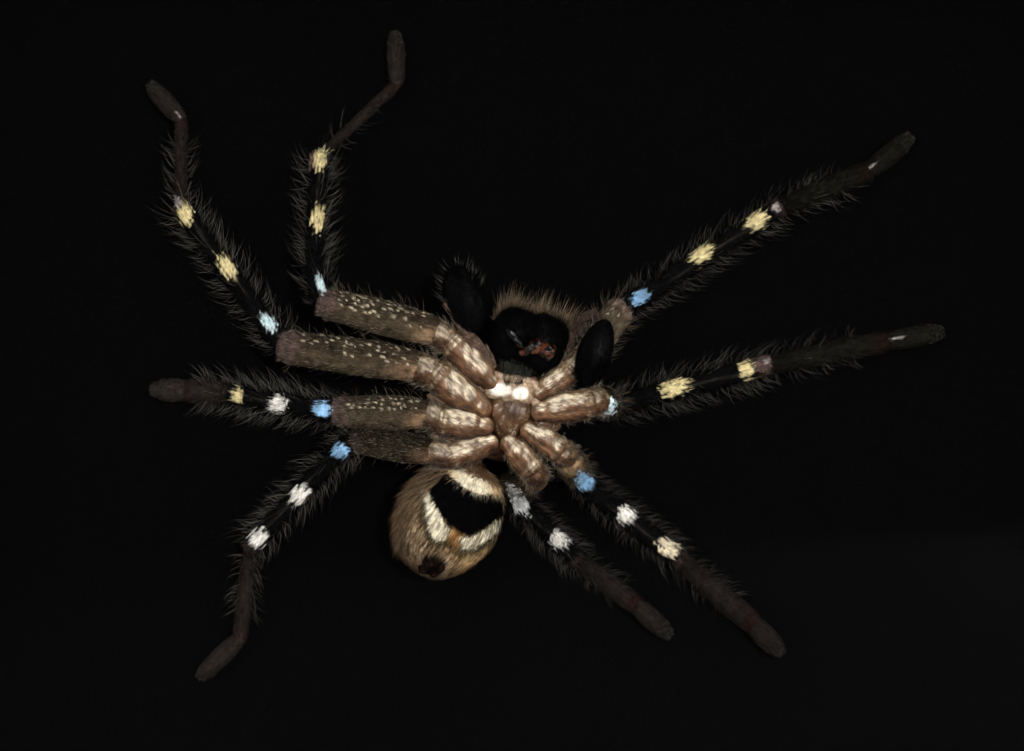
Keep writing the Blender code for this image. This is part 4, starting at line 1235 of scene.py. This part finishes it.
make_abdomen()
make_cephalothorax()
make_chelicera("chelicera_left", "chelicera_right")
make_chelicera("chelicera_right", "chelicera_left")
make_palp("palp_left")
make_palp("palp_right")


# Frame and board


def glass_material():
    """Clear low reflection glass that lets the lamps' light through to the specimen."""
    material, tree, shader = new_material("clear_glass")
    feed(tree, shader, Base_Color=(1, 1, 1, 1), Roughness=0.0, IOR=1.06, Transmission_Weight=1.0)
    through = add_node(tree, "BsdfTransparent")
    path = add_node(tree, "LightPath")
    either = add_node(tree, "Math", path.outputs["Is Shadow Ray"], path.outputs["Is Diffuse Ray"])
    either.operation = "MAXIMUM"
    chosen = add_node(tree, "MixShader", either.outputs[0], shader.outputs[0], through.outputs[0])
    feed(tree, tree.nodes["Material Output"], Surface=chosen.outputs[0])
    return material


WOOD = ((0.045, 0.032, 0.024), 60, 0.45, 1.7, 0.4, 0.12, 0.5)
BLACK_LINER = make_material("black_liner", (0.006, 0.006, 0.006), 1800, 0.7, 1.3, 0.85, 0.08, 0.3, 0.15)
STEEL = make_material("zinc_steel", (0.62, 0.62, 0.64), 500, 0.75, 1.15, 0.35, 0.12, 0.25, metallic=1.0)

# The materials of the frame's nodes, by how the nodes' names start
NODE_MATERIALS = {
    ("frame_rail_bottom", "frame_rail_top"): make_material("rail_wood_across", *WOOD, stretch=(0.12, 4, 4)),
    ("frame_rail_left", "frame_rail_right"): make_material("rail_wood_upright", *WOOD, stretch=(4, 4, 0.12)),
    ("backing_board",): make_material(
        "black_board", (0.0018, 0.0018, 0.0019), 2500, 0.7, 1.3, 0.9, 0.05, 0.2, 0.0),
    ("back_panel",): make_material("hardboard", (0.26, 0.15, 0.075), 900, 0.6, 1.35, 0.75, 0.1, 0.6),
    ("glass_pane",): glass_material(), ("spacer_",): BLACK_LINER,
    ("framing_point_", "sawtooth_hanger", "hanger_nail_"): STEEL,
}
for node in bpy.data.objects:
    for starts, material in NODE_MATERIALS.items():
        if node.name.startswith(starts):
            for slot in node.material_slots:
                slot.material = material


# Studio: each light's place, measured from the frame's middle in metres, its size, power and spread in degrees
LIGHTS = {
    "key": ((-0.16, -0.8, 0.38), 0.3, 0.5, 100), "top": ((0.1, -0.3, 0.62), 0.25, 1.0, 180),
    "left_fill": ((-0.6, -0.7, 0.05), 0.4, 0.9, 120), "right_fill": ((0.62, -0.7, -0.01), 0.4, 1.1, 120),
    "front": ((0.34, -1.5, 0.1), 0.12, 1.3, 60), "back": ((0.25, 0.9, 0.5), 0.5, 3.5, 180),
}
SKY_COLOUR = (0.9, 0.95, 1.0, 1)
SKY_STRENGTH = 0.12
FLOOR_HALF = 3


def make_camera():
    data = bpy.data.cameras.new("camera")
    data.sensor_width = SENSOR_WIDTH
    data.lens = SENSOR_WIDTH * EYE_DISTANCE / FIELD_WIDTH
    data.clip_start = 0.01
    camera = add_object("camera", data)
    camera.location = (0, BOARD_FRONT_Y - EYE_DISTANCE * MM, CENTRE_Z)
    camera.rotation_euler = (math.radians(90), 0, 0)
    bpy.context.scene.camera = camera


def make_light(name, away, size, power, spread):
    """An area light that is turned to the frame's middle."""
    data = bpy.data.lights.new(name, "AREA")
    data.size, data.energy, data.spread = size, power, math.radians(spread)
    light = add_object(name, data)
    light.location = (away[0], away[1], CENTRE_Z + away[2])
    light.rotation_euler = (-Vector(away)).to_track_quat("-Z", "Y").to_euler()


def make_floor():
    mesh = bpy.data.meshes.new("floor")
    half = FLOOR_HALF
    mesh.from_pydata([(-half, -half, 0), (half, -half, 0), (half, half, 0), (-half, half, 0)], [], [(0, 1, 2, 3)])
    mesh.materials.append(make_material("pale_floor", (0.62, 0.61, 0.59), 40, 0.96, 1.03, 0.8, 0.05, 0.02))
    add_object("floor", mesh)


def make_world():
    world = bpy.data.worlds.new("studio")
    SCENE.world = world
    world.use_nodes = True
    background = world.node_tree.nodes["Background"]
    background.inputs["Color"].default_value = SKY_COLOUR
    background.inputs["Strength"].default_value = SKY_STRENGTH


make_camera()
make_floor()
make_world()
for light_name, values in LIGHTS.items():
    make_light(light_name, *values)
SCENE.view_settings.view_transform = "Standard"
